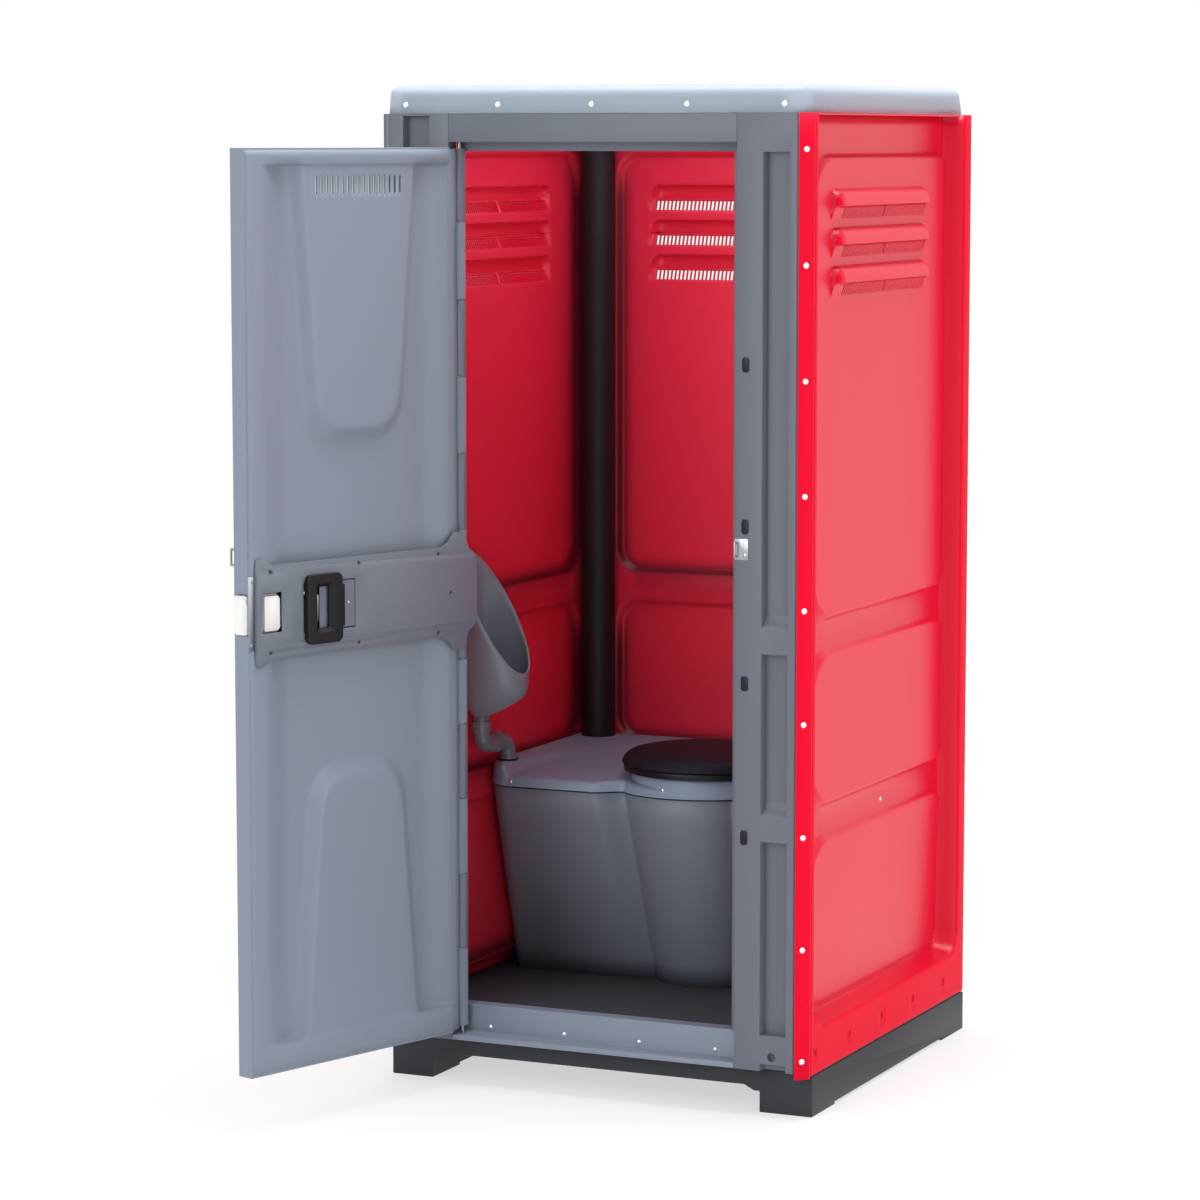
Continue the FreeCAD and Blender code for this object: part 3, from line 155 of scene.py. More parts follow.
def moulded_plastic(name, tone, deep, rough, grain_mm, grain, gloss, patch=0.4, rub=0.06):
    """Moulded polyethylene, ABS or nylon.

    The eye gets a tone that drifts slowly over the piece, a fine grain from the mould that softens
    the shine, and wide patches that hands and cleaning have made smoother. The grain is drawn
    grain_mm wide, because that of most moulds, about 0.3 mm, is too fine to show here.
    """
    material, tree, shader = new_material(name)
    where = add(tree, "ShaderNodeNewGeometry").outputs["Position"]
    cloud = add(tree, "ShaderNodeTexNoise", {"Scale": noise_scale(312.5), "Detail": 1.0}, Vector=where)
    drift = add(tree, "ShaderNodeMapRange", {"To Min": 0.0, "To Max": patch}, Value=cloud.outputs[0])
    blend_tones(tree, shader, drift.outputs[0], tone, deep)
    if grain:
        fine = add(tree, "ShaderNodeTexNoise", {"Scale": noise_scale(grain_mm), "Detail": 2.0}, Vector=where)
        bump = add(tree, "ShaderNodeBump", {"Strength": grain, "Distance": 0.0004}, Height=fine.outputs[0])
        tree.links.new(bump.outputs[0], shader.inputs["Normal"])
    rubbed = add(tree, "ShaderNodeTexNoise", {"Scale": noise_scale(166.7), "Detail": 1.0}, Vector=where)
    rough_map = add(tree, "ShaderNodeMapRange", {"To Min": rough - rub, "To Max": rough + rub},
                    Value=rubbed.outputs[0])
    tree.links.new(rough_map.outputs[0], shader.inputs["Roughness"])
    shader.inputs["IOR"].default_value = 1.51
    shader.inputs["Specular IOR Level"].default_value = gloss
    return material


def room_side_with_painted_shade():
    """The room side of the red sheet, which never touched the mould.

    The eye gets a paler red than the outer face, which is painted light for the cabin, and a painted
    shade round each pillow, which stands in for the shading that the pillow would have if it swelled
    into the room.
    """
    material, tree, shader = new_material("red_polyethylene_room_side_painted_shade")
    border = add(tree, "ShaderNodeAttribute", {"attribute_name": "painted_pillow_shade"})
    # Painted light and shade: the paler red lightens the cabin walls, the deep red is painted shade at the
    # pillows' borders
    blend_tones(tree, shader, border.outputs["Fac"], "#ea2c48", "#6a0c20")
    shader.inputs["Roughness"].default_value = 0.32
    shader.inputs["Specular IOR Level"].default_value = 0.4
    return material


def plated_steel(name, tone, rough):
    """Zinc-plated steel or bright aluminium.

    The eye gets a metal shine broken by faint patches some 6 mm wide and by fine lines from drawing
    and rolling, which are really about 0.1 mm wide and are drawn at 0.7 mm so that they show.
    """
    material, tree, shader = new_material(name)
    where = add(tree, "ShaderNodeNewGeometry").outputs["Position"]
    patches = add(tree, "ShaderNodeTexNoise", {"Scale": noise_scale(5.556), "Detail": 4.0}, Vector=where)
    rough_map = add(tree, "ShaderNodeMapRange", {"To Min": rough - 0.06, "To Max": rough + 0.12},
                    Value=patches.outputs[0])
    tree.links.new(rough_map.outputs[0], shader.inputs["Roughness"])
    lines = add(tree, "ShaderNodeTexNoise", {"Scale": noise_scale(0.7143), "Detail": 2.0}, Vector=where)
    bump = add(tree, "ShaderNodeBump", {"Strength": 0.12, "Distance": 0.0003}, Height=lines.outputs[0])
    tree.links.new(bump.outputs[0], shader.inputs["Normal"])
    shader.inputs["Base Color"].default_value = paint(tone)
    shader.inputs["Metallic"].default_value = 1.0
    return material


def cloudy_roof_sheet():
    """Natural polyethylene sheet, vacuum-formed.

    The eye gets a milky skin with a faint swell some 100 mm wide. The sky lights it through, so
    that the cabin is light inside.
    """
    material, tree, shader = new_material("natural_polyethylene_sheet")
    where = add(tree, "ShaderNodeNewGeometry").outputs["Position"]
    cloud = add(tree, "ShaderNodeTexNoise", {"Scale": noise_scale(100.0), "Detail": 3.0}, Vector=where)
    bump = add(tree, "ShaderNodeBump", {"Strength": 0.08, "Distance": 0.003}, Height=cloud.outputs[0])
    tree.links.new(bump.outputs[0], shader.inputs["Normal"])
    shader.inputs["Base Color"].default_value = paint("#bfcdd3")
    shader.inputs["Roughness"].default_value = 0.4
    shader.inputs["IOR"].default_value = 1.5
    shader.inputs["Specular IOR Level"].default_value = 0.3
    through = add(tree, "ShaderNodeBsdfTranslucent", {"Color": paint("#e4eaf4")})
    both = add(tree, "ShaderNodeMixShader", {"0": 0.6}, i1=shader.outputs[0], i2=through.outputs[0])
    tree.links.new(both.outputs[0], tree.nodes["Material Output"].inputs[0])
    return material


# Vacuum-formed sheet: smooth and half glossy, so that each pillow takes one broad soft light
RED = moulded_plastic("red_thermoformed_polyethylene", "#da0a30", "#d2082c", 0.32, 3.0, 0, 0.34, 0.5, 0.03)
# The room side of that sheet: a paler red as painted light, with painted shade round each pillow
RED_INSIDE_PAINTED_SHADE = room_side_with_painted_shade()
# The clamped edge of that sheet: it keeps the pure colour of the resin and hardly shines
RED_EDGE = moulded_plastic("red_sheet_clamped_edge", "#e0062c", "#da0529", 0.5, 3.0, 0, 0.06, 0.4, 0.03)
# Skins from a grained mould: a dull, even grey
DOOR = moulded_plastic("grey_moulded_polyethylene", "#7d8795", "#77818f", 0.46, 1.2, 0.08, 0.35)
FRAME = moulded_plastic("slate_moulded_polyethylene", "#646872", "#5f636d", 0.48, 1.2, 0.08, 0.35)
# Injection-moulded ABS: a little crisper in grain and edge than the skin behind it
COVER = moulded_plastic("cover_moulded_abs", "#69707b", "#636a75", 0.44, 1.4, 0.12, 0.35)
CASE = moulded_plastic("case_moulded_abs", "#5b6069", "#545961", 0.5, 1.4, 0.1, 0.4)
# Thick rotation-moulded walls: waxy, with soft lights that run down the tank
TANK = moulded_plastic("dark_grey_tank_polyethylene", "#767e8a", "#6f7783", 0.45, 1.6, 0.05, 0.4)
DECK = moulded_plastic("deck_grey_polyethylene", "#8596a8", "#7e8fa1", 0.42, 1.6, 0.05, 0.4)
# Recycled resin, pressed: nearly black and coarse
BASE = moulded_plastic("black_recycled_polyethylene", "#2f3137", "#292b30", 0.5, 2.0, 0.2, 0.3)
# The tray underfoot: a raised grain against slipping, dull even where it is walked on
FLOOR = moulded_plastic("anti_slip_floor_polyethylene", "#424449", "#393b40", 0.6, 6.0, 0.5, 0.3)
# Glass-filled nylon: a dry black with a thin shine on its edges
BLACK = moulded_plastic("black_moulded_nylon", "#131417", "#0f1012", 0.42, 1.2, 0.05, 0.26)
# Extruded, so it is even along its length
PIPE = moulded_plastic("black_extruded_pipe", "#1c1c1f", "#18181b", 0.5, 2.0, 0, 0.3)
# Moulded polypropylene: soft black with a wide faint sheen
LID = moulded_plastic("seat_black_polypropylene", "#17191f", "#14161b", 0.6, 2.0, 0, 0.16)
# A polished mould makes the bowl and the pipes smoother than the tank
URINAL = moulded_plastic("urinal_grey_polyethylene", "#89929d", "#828b96", 0.36, 1.6, 0, 0.45)
DRAIN = moulded_plastic("drain_grey_pvc", "#767a82", "#6f737b", 0.34, 1.6, 0, 0.5)
# Acetal slides well and has a clean, waxy white
WHITE = moulded_plastic("white_moulded_acetal", "#e2e1de", "#dcdad6", 0.3, 1.2, 0, 0.4)
# Rubber: matt, with no shine to speak of
RUBBER = moulded_plastic("black_rubber", "#161616", "#101010", 0.7, 1.2, 0.2, 0.3)
# Zinc-plated plates, blackened screws, and rivets bright enough to read as dots
STEEL = plated_steel("zinc_plated_steel", "#9fa2a6", 0.36)
DARK_SCREW = plated_steel("blackened_screw_steel", "#3c3e42", 0.4)
RIVET = plated_steel("bright_aluminium_rivet", "#eef0f2", 0.28)
ROOF = cloudy_roof_sheet()

finish_of_slot = {
    "red_wall": RED, "door_grey": DOOR, "frame_grey": FRAME, "cover_grey": COVER, "case_grey": CASE,
    "tank_grey": TANK, "deck_grey": DECK, "black_moulding": BLACK, "floor_grey": FLOOR, "pipe_black": PIPE,
    "urinal_grey": URINAL, "drain_grey": DRAIN, "bolt_white": WHITE, "steel": STEEL, "rivet": RIVET,
    "rubber_black": RUBBER, "roof_white": ROOF}


def dress(obj, material):
    """Gives an object one finish."""
    obj.data.materials.clear()
    obj.data.materials.append(material)


def crisp_from(obj, degrees):
    """Edges that turn by more than this stay crisp."""
    obj.data.set_sharp_from_angle(angle=math.radians(degrees))


def smooth_by_angle(obj, degrees):
    """Soft shading over curved faces, crisp at edges sharper than the angle."""
    for face in obj.data.polygons:
        face.use_smooth = True
    crisp_from(obj, degrees)


def soften_edges(name, width_mm):
    """Rounds the moulded edges of a solid a little, as every mould does, so that they catch the light."""
    obj = nodes[name]
    weld = obj.modifiers.new("weld", "WELD")
    weld.merge_threshold = 0.00002
    flat = obj.modifiers.new("whole_faces", "DECIMATE")
    flat.decimate_type = "DISSOLVE"
    flat.angle_limit = math.radians(0.6)
    bevel = obj.modifiers.new("mould_radius", "BEVEL")
    bevel.width = width_mm * MM
    bevel.segments = 2
    bevel.limit_method = "ANGLE"
    bevel.angle_limit = math.radians(24)
    bevel.harden_normals = True
    for face in obj.data.polygons:
        face.use_smooth = True


def smooth_step(t):
    """From 0 to 1 as t does, starting and ending gently."""
    t = min(max(t, 0.0), 1.0)
    return t * t * (3 - 2 * t)


def depth_inside(a, b, a0, a1, b0, b1, r_start, r_end):
    """How far a point lies inside a rounded rectangle; r_start rounds its a0 end, r_end its a1 end."""
    r = r_start if a < (a0 + a1) / 2 else r_end
    qa = abs(a - (a0 + a1) / 2) - (a1 - a0) / 2 + r
    qb = abs(b - (b0 + b1) / 2) - (b1 - b0) / 2 + r
    return r - math.hypot(max(qa, 0.0), max(qb, 0.0)) - min(max(qa, qb), 0.0)


def tidy_lines(places, least=0.35):
    """Grid places in order, without those that nearly repeat the one before."""
    places = sorted(places)
    return [p for i, p in enumerate(places) if not i or p - places[i - 1] > least]


def grid_lines(*stretches):
    """Grid places from stretches of (start, end, longest step)."""
    places = []
    for start, end, step in stretches:
        count = max(1, math.ceil((end - start) / step - 1e-6))
        places += [start + (end - start) * i / count for i in range(count + 1)]
    return tidy_lines(places, 0.4)


def patch(us, vs, place, hole=None):
    """A grid of points and faces: place gives a point in millimetres, hole leaves a face out."""
    points = [Vector(place(u, v)) * MM for u in us for v in vs]
    n, faces = len(vs), []
    for i in range(len(us) - 1):
        for j in range(n - 1):
            if hole and hole((us[i] + us[i + 1]) / 2, (vs[j] + vs[j + 1]) / 2):
                continue
            faces.append((i * n + j, (i + 1) * n + j, (i + 1) * n + j + 1, i * n + j + 1))
    return points, faces


def piece(name, patches, material, body, flip=False):
    """One object from its patches, riding on a body with the finish given."""
    points, faces = [], []
    for some_points, some_faces in patches:
        base = len(points)
        points += some_points
        faces += [tuple(base + k for k in (face[::-1] if flip else face)) for face in some_faces]
    mesh = bpy.data.meshes.new(name)
    mesh.from_pydata(points, [], faces)
    mesh.validate()
    obj = bpy.data.objects.new(name, mesh)
    bpy.context.scene.collection.objects.link(obj)
    dress(obj, material)
    for face in mesh.polygons:
        face.use_smooth = True
    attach(obj, body)
    return obj


def thicken(obj, thickness_mm, edge_angle):
    """Gives a sheet its thickness, towards its inner side, and crisp edges where it folds."""
    solid = obj.modifiers.new("sheet_thickness", "SOLIDIFY")
    solid.thickness = thickness_mm * MM
    solid.offset = -1
    crisp_from(obj, edge_angle)
    return solid


def even_shading(obj, degrees):
    """Flat faces stay flat beside their rounded edges."""
    crisp_from(obj, degrees)
    weighted = obj.modifiers.new("even_shading", "WEIGHTED_NORMAL")
    weighted.keep_sharp = True


def bar_points(corners_a, corners_b):
    """A short bar between two four-cornered ends: its points and faces."""
    points = [Vector(c) * MM for c in list(corners_a) + list(corners_b)]
    faces = [(0, 3, 2, 1), (4, 5, 6, 7), (0, 1, 5, 4), (1, 2, 6, 5), (2, 3, 7, 6), (3, 0, 4, 7)]
    return points, faces


def box_points(x0, y0, z0, x1, y1, z1):
    """An upright block between two corners: its points and faces."""
    low = [(x0, y0, z0), (x1, y0, z0), (x1, y1, z0), (x0, y1, z0)]
    return bar_points(low, [(x, y, z1) for x, y, z in low])


def loft(rings, closed=True, cap_first=False, cap_last=False):
    """Faces over rings of as many points each."""
    points = [Vector(p) * MM for ring in rings for p in ring]
    n, faces = len(rings[0]), []
    for k in range(len(rings) - 1):
        for i in range(n if closed else n - 1):
            j = (i + 1) % n
            faces.append((k * n + i, k * n + j, (k + 1) * n + j, (k + 1) * n + i))
    if cap_first:
        faces.append(tuple(range(n))[::-1])
    if cap_last:
        faces.append(tuple((len(rings) - 1) * n + i for i in range(n)))
    return points, faces


def rounded_outline(a0, b0, a1, b1, r, steps=6):
    """A rounded rectangle as points, counter-clockwise."""
    points = []
    corners = ((a1 - r, b1 - r, 0), (a0 + r, b1 - r, 90), (a0 + r, b0 + r, 180), (a1 - r, b0 + r, 270))
    for ca, cb, start in corners:
        for i in range(steps + 1):
            a = math.radians(start + 90 * i / steps)
            points.append((ca + r * math.cos(a), cb + r * math.sin(a)))
    return points


# Wall sheets: the pillowed face first, then its thickness

def inside_pillow(wall, y, z, low, high):
    """How far a point lies inside a pillow. Each wall's pillows have a pair of wide corners at one end."""
    start, end, start_r, end_r = pillow_ends[wall]
    return depth_inside(y, z, start, end, low, high, start_r, end_r)


def panel_rise(wall, y, z):
    """How far the pillows stand out of a wall's sunk field at a point, and their leaning foot."""
    rise = 0.0
    for low, high in pillow_rows:
        inside = inside_pillow(wall, y, z, low, high)
        top = (belt_depth - pillow_depth) * smooth_step(inside / pillow_slope)
        if low == pillow_rows[0][0]:
            top -= pillow_lean * smooth_step(inside / pillow_slope) * (high - z) / (high - low)
        rise = max(rise, top)
    return rise


def hood_rise(y, z):
    """How far a louvre hood stands out of the upper pillow: a round scoop whose lip overhangs its grille."""
    for top in hood_tops:
        down = top - z
        if not 0 <= down <= hood_height:
            continue
        inside = depth_inside(y, z, *hood_ends, top - hood_height - 60, top, hood_corner, hood_corner)
        scoop = hood_out * math.sqrt(1 - (1 - min(max(inside, 0.0) / hood_round, 1.0)) ** 2)
        if down <= hood_lip:
            return scoop
        if down <= hood_step:
            turned_in = (down - hood_lip) / (hood_step - hood_lip)
            return min(scoop, hood_out + (hood_grille - hood_out) * turned_in)
        return min(scoop, hood_grille * (hood_height - down) / (hood_height - hood_step))
    return 0.0


def painted_pillow_shade(wall, y, z):
    """How much painted shade the room side gets at a point: most along the foot and the sides of a pillow.
    """
    dark = 0.0
    for low, high in pillow_rows:
        inside = inside_pillow(wall, y, z, low, high)
        if inside > -4.0:
            near = smooth_step((inside + 4.0) / 7.0) * math.exp(-(max(inside - 5.0, 0.0) / 24.0) ** 2)
            below_top = 1.0 - smooth_step((z - high + 130.0) / 110.0)
            dark = max(dark, near * below_top)
    return dark


def wall_depth(wall, y, z):
    """How far a wall sheet's face lies behind its flange."""
    inside = depth_inside(y, z, -field_edge, field_edge, field_low, wall_top + 300,
                          field_corner, field_corner)
    return belt_depth * smooth_step(inside / draft) - panel_rise(wall, y, z) - hood_rise(y, z)


def in_grille(y, z):
    """True for the parts of a hood's underside that are cut out between its bars."""
    across = grille_ends[0] < y < grille_ends[1] and not grille_gap[0] < y < grille_gap[1]
    return across and any(hood_step < top - z < hood_height - 4 for top in hood_tops)


def in_screw_cup(y, z):
    """True for the squares that the screw cups are drawn into."""
    return abs(z - cup_z) < cup_half and any(abs(y - at) < cup_half for at in cup_places)


def wall_lines(front):
    """Grid places along a wall from its front edge, close together where its form turns."""
    bend = [0.0, 1.0, 2.5, 5.0, 8.0, 11.0, 13.5, 15.0, 16.0]
    places = [-field_edge + e for e in bend] + [field_edge - e for e in bend]
    places += grid_lines((-463, -360, 5), (-360, -302, 14), (-302, -264, 3.2), (-264, 262, 20),
                         (262, 300, 3.2), (300, 320, 10), (320, 463, 5))
    places += [-front, -490.0, 495.0, 510.0, rear_edge, *grille_gap, *grille_ends]
    places += [at + side * cup_half for at in cup_places for side in (-1, 1)]
    return tidy_lines(places)


def wall_levels():
    """Grid heights of a wall."""
    places = [wall_low, 106.0, 108.0, 111.0, cup_z - cup_half, cup_z + cup_half, 165.0, 185.0]
    places += [field_low + e for e in (0.0, 1.0, 2.5, 5.0, 8.0, 11.0, 13.5, 16.0)]
    for low, high in pillow_rows:
        places += grid_lines((low, low + wide_corner, 5), (low + wide_corner, high - wide_corner, 24),
                             (high - wide_corner, high, 5))
    places += grid_lines((field_low + 16, 256, 6))
    scoop = (-8, 0, 1, 2.5, 5, 9, 14, 20, 29, hood_lip, hood_step, hood_height - 4, hood_height)
    places += [top - down for top in hood_tops for down in scoop]
    return tidy_lines(places + [wall_top - 60, wall_top - 30, wall_top])


def cup(place, y, z):
    """The round cup that a wall screw sits in, drawn into the square left for it."""
    turns = 32
    rings = []
    for r, deep in ((None, 0.0), (10.0, 0.0), (9.2, 0.6), (7.4, 4.4), (6.8, 5.0), (0.1, 5.0)):
        ring = []
        for i in range(turns):
            a = 2 * math.pi * i / turns
            ca, sa = math.cos(a), math.sin(a)
            reach = cup_half / max(abs(ca), abs(sa)) if r is None else r
            ring.append(place(deep, y + reach * ca, z + reach * sa))
        rings.append(ring)
    return loft(rings)


def finish_wall(obj, name):
    """The sheet's three finishes, and the painted shade round each pillow on the room side."""
    obj.data.materials.append(RED_EDGE)
    obj.data.materials.append(RED_INSIDE_PAINTED_SHADE)
    # Painted shade for the room side, darkest along the foot and the sides of each pillow
    border = obj.data.attributes.new("painted_pillow_shade", "FLOAT", "POINT")
    for i, point in enumerate(obj.data.vertices):
        across = point.co.y if name != "rear_wall" else -point.co.x
        border.data[i].value = painted_pillow_shade(name, across / MM, point.co.z / MM)
    for part in obj.data.polygons:
        out = max(abs(part.center.x), part.center.y) / MM
        clamped = out > half - 3.0 or abs(part.normal.x * part.normal.y) > 0.4
        part.material_index = 1 if clamped else 0


def build_grille(name, place, flip):
    """The slanted bars in the undersides of a wall's hoods."""
    bars = []
    pitch = (grille_ends[1] - grille_ends[0]) / grille_bars
    section = ((-bar_half, 0.0), (bar_half, 0.0), (bar_half * 0.7, bar_deep), (-bar_half * 0.7, bar_deep))
    for top in hood_tops:
        for i in range(grille_bars + 1):
            y = grille_ends[0] + i * pitch
            ends = []
            for z in (top - hood_height + 2, top - hood_step):
                d = wall_depth(name, y, z)
                ends.append([place(d + back, y + side, z) for side, back in section])
            bars.append(bar_points(*ends))
    grille = piece(name + "_grille_bars", bars, RED, "cabin", flip)
    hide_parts(name)
    crisp_from(grille, 30)


def wall_sheet(name, place, front, flip, wrap=None):
    """One pillowed, louvred wall sheet with the bars of its hoods."""
    def face(y, z):
        return place(wall_depth(name, y, z), y, z)

    def cut_out(y, z):
        return in_grille(y, z) or in_screw_cup(y, z)

    sheets = [patch(wall_lines(front), wall_levels(), face, cut_out)]
    sheets += [cup(place, y, cup_z) for y in cup_places]
    if wrap:
        sheets.append(wrap)
    obj = piece(name, sheets, RED, "cabin", flip)
    finish_wall(obj, name)
    thicken(obj, sheet, 52).material_offset = 2
    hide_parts(name)
    build_grille(name, place, flip)


def wall_shelf(name, boxes):
    """The turned-in top edge that carries the roof sheet, and the turned rear edge."""
    obj = piece(name + "_turned_edges", [box_points(*b) for b in boxes], RED, "cabin")
    crisp_from(obj, 30)
    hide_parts(name)


def corner_strip():
    """The right wall's front flange, turned round the post's chamfer."""
    corner = half - chamfer
    levels = [wall_low - 5] + [wall_low + i * 107.35 for i in range(1, 20)] + [wall_top]
    rings = []
    for z in levels:
        rings.append([(half, -field_edge - 19, z), (half, -corner, z), (half - 0.4, -corner - 1.0, z),
                      (corner + 1.0, -half + 0.4, z), (corner, -half, z)])
    points, faces = loft(rings, closed=False)
    return points, [face[::-1] for face in faces]


def build_walls():
    """The three wall sheets, each with its turned edges."""
    ledge_low, ledge_high, upstand = wall_top - sheet, wall_top, wall_top + 44
    shelf_x = half - 22.0 - sheet - clearance
    start, end = -field_edge + 6, field_edge - 25
    for side, name, flip, wrap in ((1, "right_wall", False, corner_strip()), (-1, "left_wall", True, None)):
        wall_sheet(name, lambda d, y, z, side=side: (side * (half - d), y, z), front_edge, flip, wrap)
        spans = [(half - belt_depth, half - sheet, start, end, ledge_low, ledge_high),
                 (shelf_x - sheet, shelf_x, start, end, ledge_low, upstand),
                 (half - 38, half - sheet, half - 2 * sheet, half - sheet, wall_low + 12, wall_top)]
        boxes = []
        for x_in, x_out, y_low, y_high, z_low, z_high in spans:
            left, right = sorted((side * x_in, side * x_out))
            boxes.append((left, y_low, z_low, right, y_high, z_high))
        wall_shelf(name, boxes)
    wall_sheet("rear_wall", lambda d, y, z: (-y, half - d, z), rear_edge, False)
    end, back = field_edge - 30, half - 35.0
    wall_shelf("rear_wall", [(-end, half - belt_depth, ledge_low, end, half - sheet, ledge_high),
                             (-end, back - sheet, ledge_low, end, back, upstand)])


# Round pieces, turned or domed

def turned(profile, centre, axis="z", turns=72):
    """A body turned about an axis through a centre, from (radius, place along the axis) pairs."""
    rings = []
    for r, along_axis in profile:
        ring = []
        for i in range(turns):
            a = 2 * math.pi * i / turns
            u, v = r * math.cos(a), r * math.sin(a)
            if axis == "z":
                ring.append((centre[0] + u, centre[1] + v, along_axis))
            else:
                ring.append((along_axis, centre[1] + u, centre[2] + v))
        rings.append(ring)
    return loft(rings)


def head(at, out, r, h):
    """A smooth domed rivet or screw head at a place, standing out along a direction."""
    out = Vector(out).normalized()
    side = out.orthogonal().normalized()
    other = out.cross(side)
    around = [math.radians(i * 18) for i in range(20)]
    rings = []
    for k in range(7):
        up = math.pi / 2 * k / 6
        rise, reach = h * math.sin(up), r * max(math.cos(up), 0.02) ** 0.8
        rings.append([Vector(at) + out * rise + (side * math.cos(a) + other * math.sin(a)) * reach
                      for a in around])
    return loft(rings)


def heads(name, places, out, r, h, body, material):
    """All the heads of one kind, each with its own direction where out is a list."""
    ways = out if isinstance(out, list) else [out] * len(places)
    domes = [head(at, way, r, h) for at, way in zip(places, ways)]
    obj = piece(name + "_heads", domes, material, body)
    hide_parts(name)


def build_small_rivets():
    """The single rivet in the right wall's lower belt, and the two that hold the jamb staple."""
    belt = head((half - belt_depth, 82.0, 637.0), (1, 0, 0), 5.5, 2.6)
    piece("belt_rivet", [belt], RIVET, "cabin")
    low, high = (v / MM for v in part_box("jamb_staple"))
    plate_face = low.y + 12.5
    pair = [head((high.x - 7.5, plate_face, z), (0, -1, 0), 3.2, 1.4) for z in (low.z + 12.0, high.z - 12.0)]
    piece("staple_rivets", pair, RIVET, "cabin")


def build_shell_rivets():
    """The rows down the corners, along the roof's front and round the foot of the walls."""
    levels = [133.0 + i * (wall_top - 212.0) / 8 for i in range(9)]
    middle, k = half - chamfer / 2, math.sqrt(0.5)
    places = [(middle, -middle, z) for z in levels] + [(-half, -field_edge - 8, z) for z in levels]
    ways = [(k, -k, 0)] * 9 + [(-1, 0, 0)] * 9
    for x in (26 - half, half - 26):
        places += [(x, half, z) for z in levels]
        ways += [(0, 1, 0)] * 9
    heads("corner_rivets", places, ways, 7.0, 3.2, "cabin", RIVET)
    lean, up = 3.0 / 52.0, 19.5
    places = [(4 + i * 232.0, -half + lean * up, wall_top + up) for i in (-2, -1, 0, 1, 2)]
    heads("roof_rivets", places, (0, -1, lean), 7.0, 3.2, "cabin", RIVET)
    places, ways, deep = [], [], half - 5
    for at in cup_places:
        places += [(deep, at, cup_z), (-deep, at, cup_z), (-at, deep, cup_z)]
        ways += [(1, 0, 0), (-1, 0, 0), (0, 1, 0)]
    heads("wall_screws", places, ways, 4.6, 2.4, "cabin", DARK_SCREW)


def build_inner_screws():
    """The screws of the sill, the latch cover, the guide plate and the tank."""
    start, end = 76.4 - 352.0, 357.0 - 65.4
    places = [(start + i * (end - start) / 3, -482.0, 133.0) for i in range(4)]
    heads("sill_screws", places, (0, -1, 0), 5.0, 2.4, "cabin", RIVET)
    out = (*inward, 0)
    places = [on_door(s, 19.0, z) for s in (614.0, 345.0, 93.0) for z in (1068.0, 1248.0)]
    places.append(on_door(61.0, 27.0, 1158.0))
    heads("cover_screws", places, out, 3.6, 1.6, "door", DARK_SCREW)
    places = [on_door(667.0, 15.5, z) for z in (1089.0, 1228.0)]
    heads("guide_screws", places, out, 3.5, 1.1, "door", STEEL)
    turn = math.radians(-13)
    way = (math.sin(turn), -math.cos(turn), 0)
    pedestal = (seat_x + 182.0 * way[0], seat_y + 182.0 * way[1], 657.0)
    left_lobe = (-396.0, deck_edge(-396.0) + 0.5, 650.0)
    heads("tank_screws", [pedestal, left_lobe], [way, (-0.15, -1, 0.1)], 5.0, 2.4, "cabin", RIVET)


# The door's moulded inner skin

def convex_depth(outline, s, z):
    """How far a point lies inside a convex outline, with its corners softened."""
    total = 0.0
    for (s0, z0), (s1, z1) in zip(outline, outline[1:] + outline[:1]):
        length = math.hypot(s1 - s0, z1 - z0)
        away = ((s1 - s0) * (z - z0) - (z1 - z0) * (s - s0)) / length
        total += math.exp(-max(min(away / boss_softness, 60), -60))
    return -boss_softness * math.log(total)


def boss_outline(upper):
    """The foot of the upper or lower boss, counter-clockwise."""
    wide, narrow, cut = 207.0, 153.0, 58.0
    flat, far, way = (rim_high + 50, 1515.0, 1) if upper else (rim_low - 50, 805.0, -1)
    points = [(boss_s - wide, flat), (boss_s - narrow, far + way * cut), (boss_s - narrow + cut, far),
              (boss_s + narrow - cut, far), (boss_s + narrow, far + way * cut), (boss_s + wide, flat)]
    return points if upper else points[::-1]


boss_lines = {upper: boss_outline(upper) for upper in (True, False)}


def skin_height(s, z):
    """The height t of the door's inner face: its rim, the sunk field and the two tapered bosses."""
    if s < 45.0:
        return strip_t
    if s > rim_s:
        ground = sunk_t + (rim_t - sunk_t) * smooth_step((s - rim_s) / 94.0)
    else:
        ground = sunk_t + (strip_t - sunk_t) * smooth_step((125.0 - s) / 95.0)
    for upper in (True, False):
        rise = smooth_step(convex_depth(boss_lines[upper], s, z) / 37.0)
        ground = max(ground, sunk_t + boss_height * rise)
    edge = smooth_step(min(z - rim_low, rim_high - z) / 7.0 + 1.0)
    return rim_t + (ground - rim_t) * edge


def build_inner_skin():
    """The door's inner face, open behind the latch cover and at the vent slots."""
    levels = grid_lines((131, 188, 30), (188, rim_low, 1.4), (rim_low, 790, 12), (790, 880, 6),
                        (880, latch_low, 30), (latch_high, 1440, 30), (1440, 1600, 6), (1600, slot_low, 14),
                        (slot_high, rim_high, 8), (rim_high, 2134, 1.4), (2134, 2164, 20))
    levels = tidy_lines(levels + [latch_low, latch_high, slot_low, slot_high])
    across = [16.0, 30.0, 44.6, 45.4] + grid_lines((45, 125, 7), (125, 195, 5), (195, 300, 9), (355, 460, 9),
                                                    (460, 540, 5), (540, 631, 7), (631, 673, 14))
    slots = [boss_s + (i - slot_count // 2) * slot_pitch for i in range(slot_count)]
    across = tidy_lines(across + [latch_s] + [s + side * slot_half for s in slots for side in (-1, 1)])

    def opening(s, z):
        if s > latch_s and latch_low < z < latch_high:
            return True
        return slot_low < z < slot_high and any(abs(s - at) < slot_half for at in slots)

    face = patch(across, levels, lambda s, z: on_door(s, skin_height(s, z), z), opening)
    obj = piece("door_inner_skin_face", [face], DOOR, "door", flip=True)
    thicken(obj, sheet, 60)
    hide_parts("door_inner_skin")


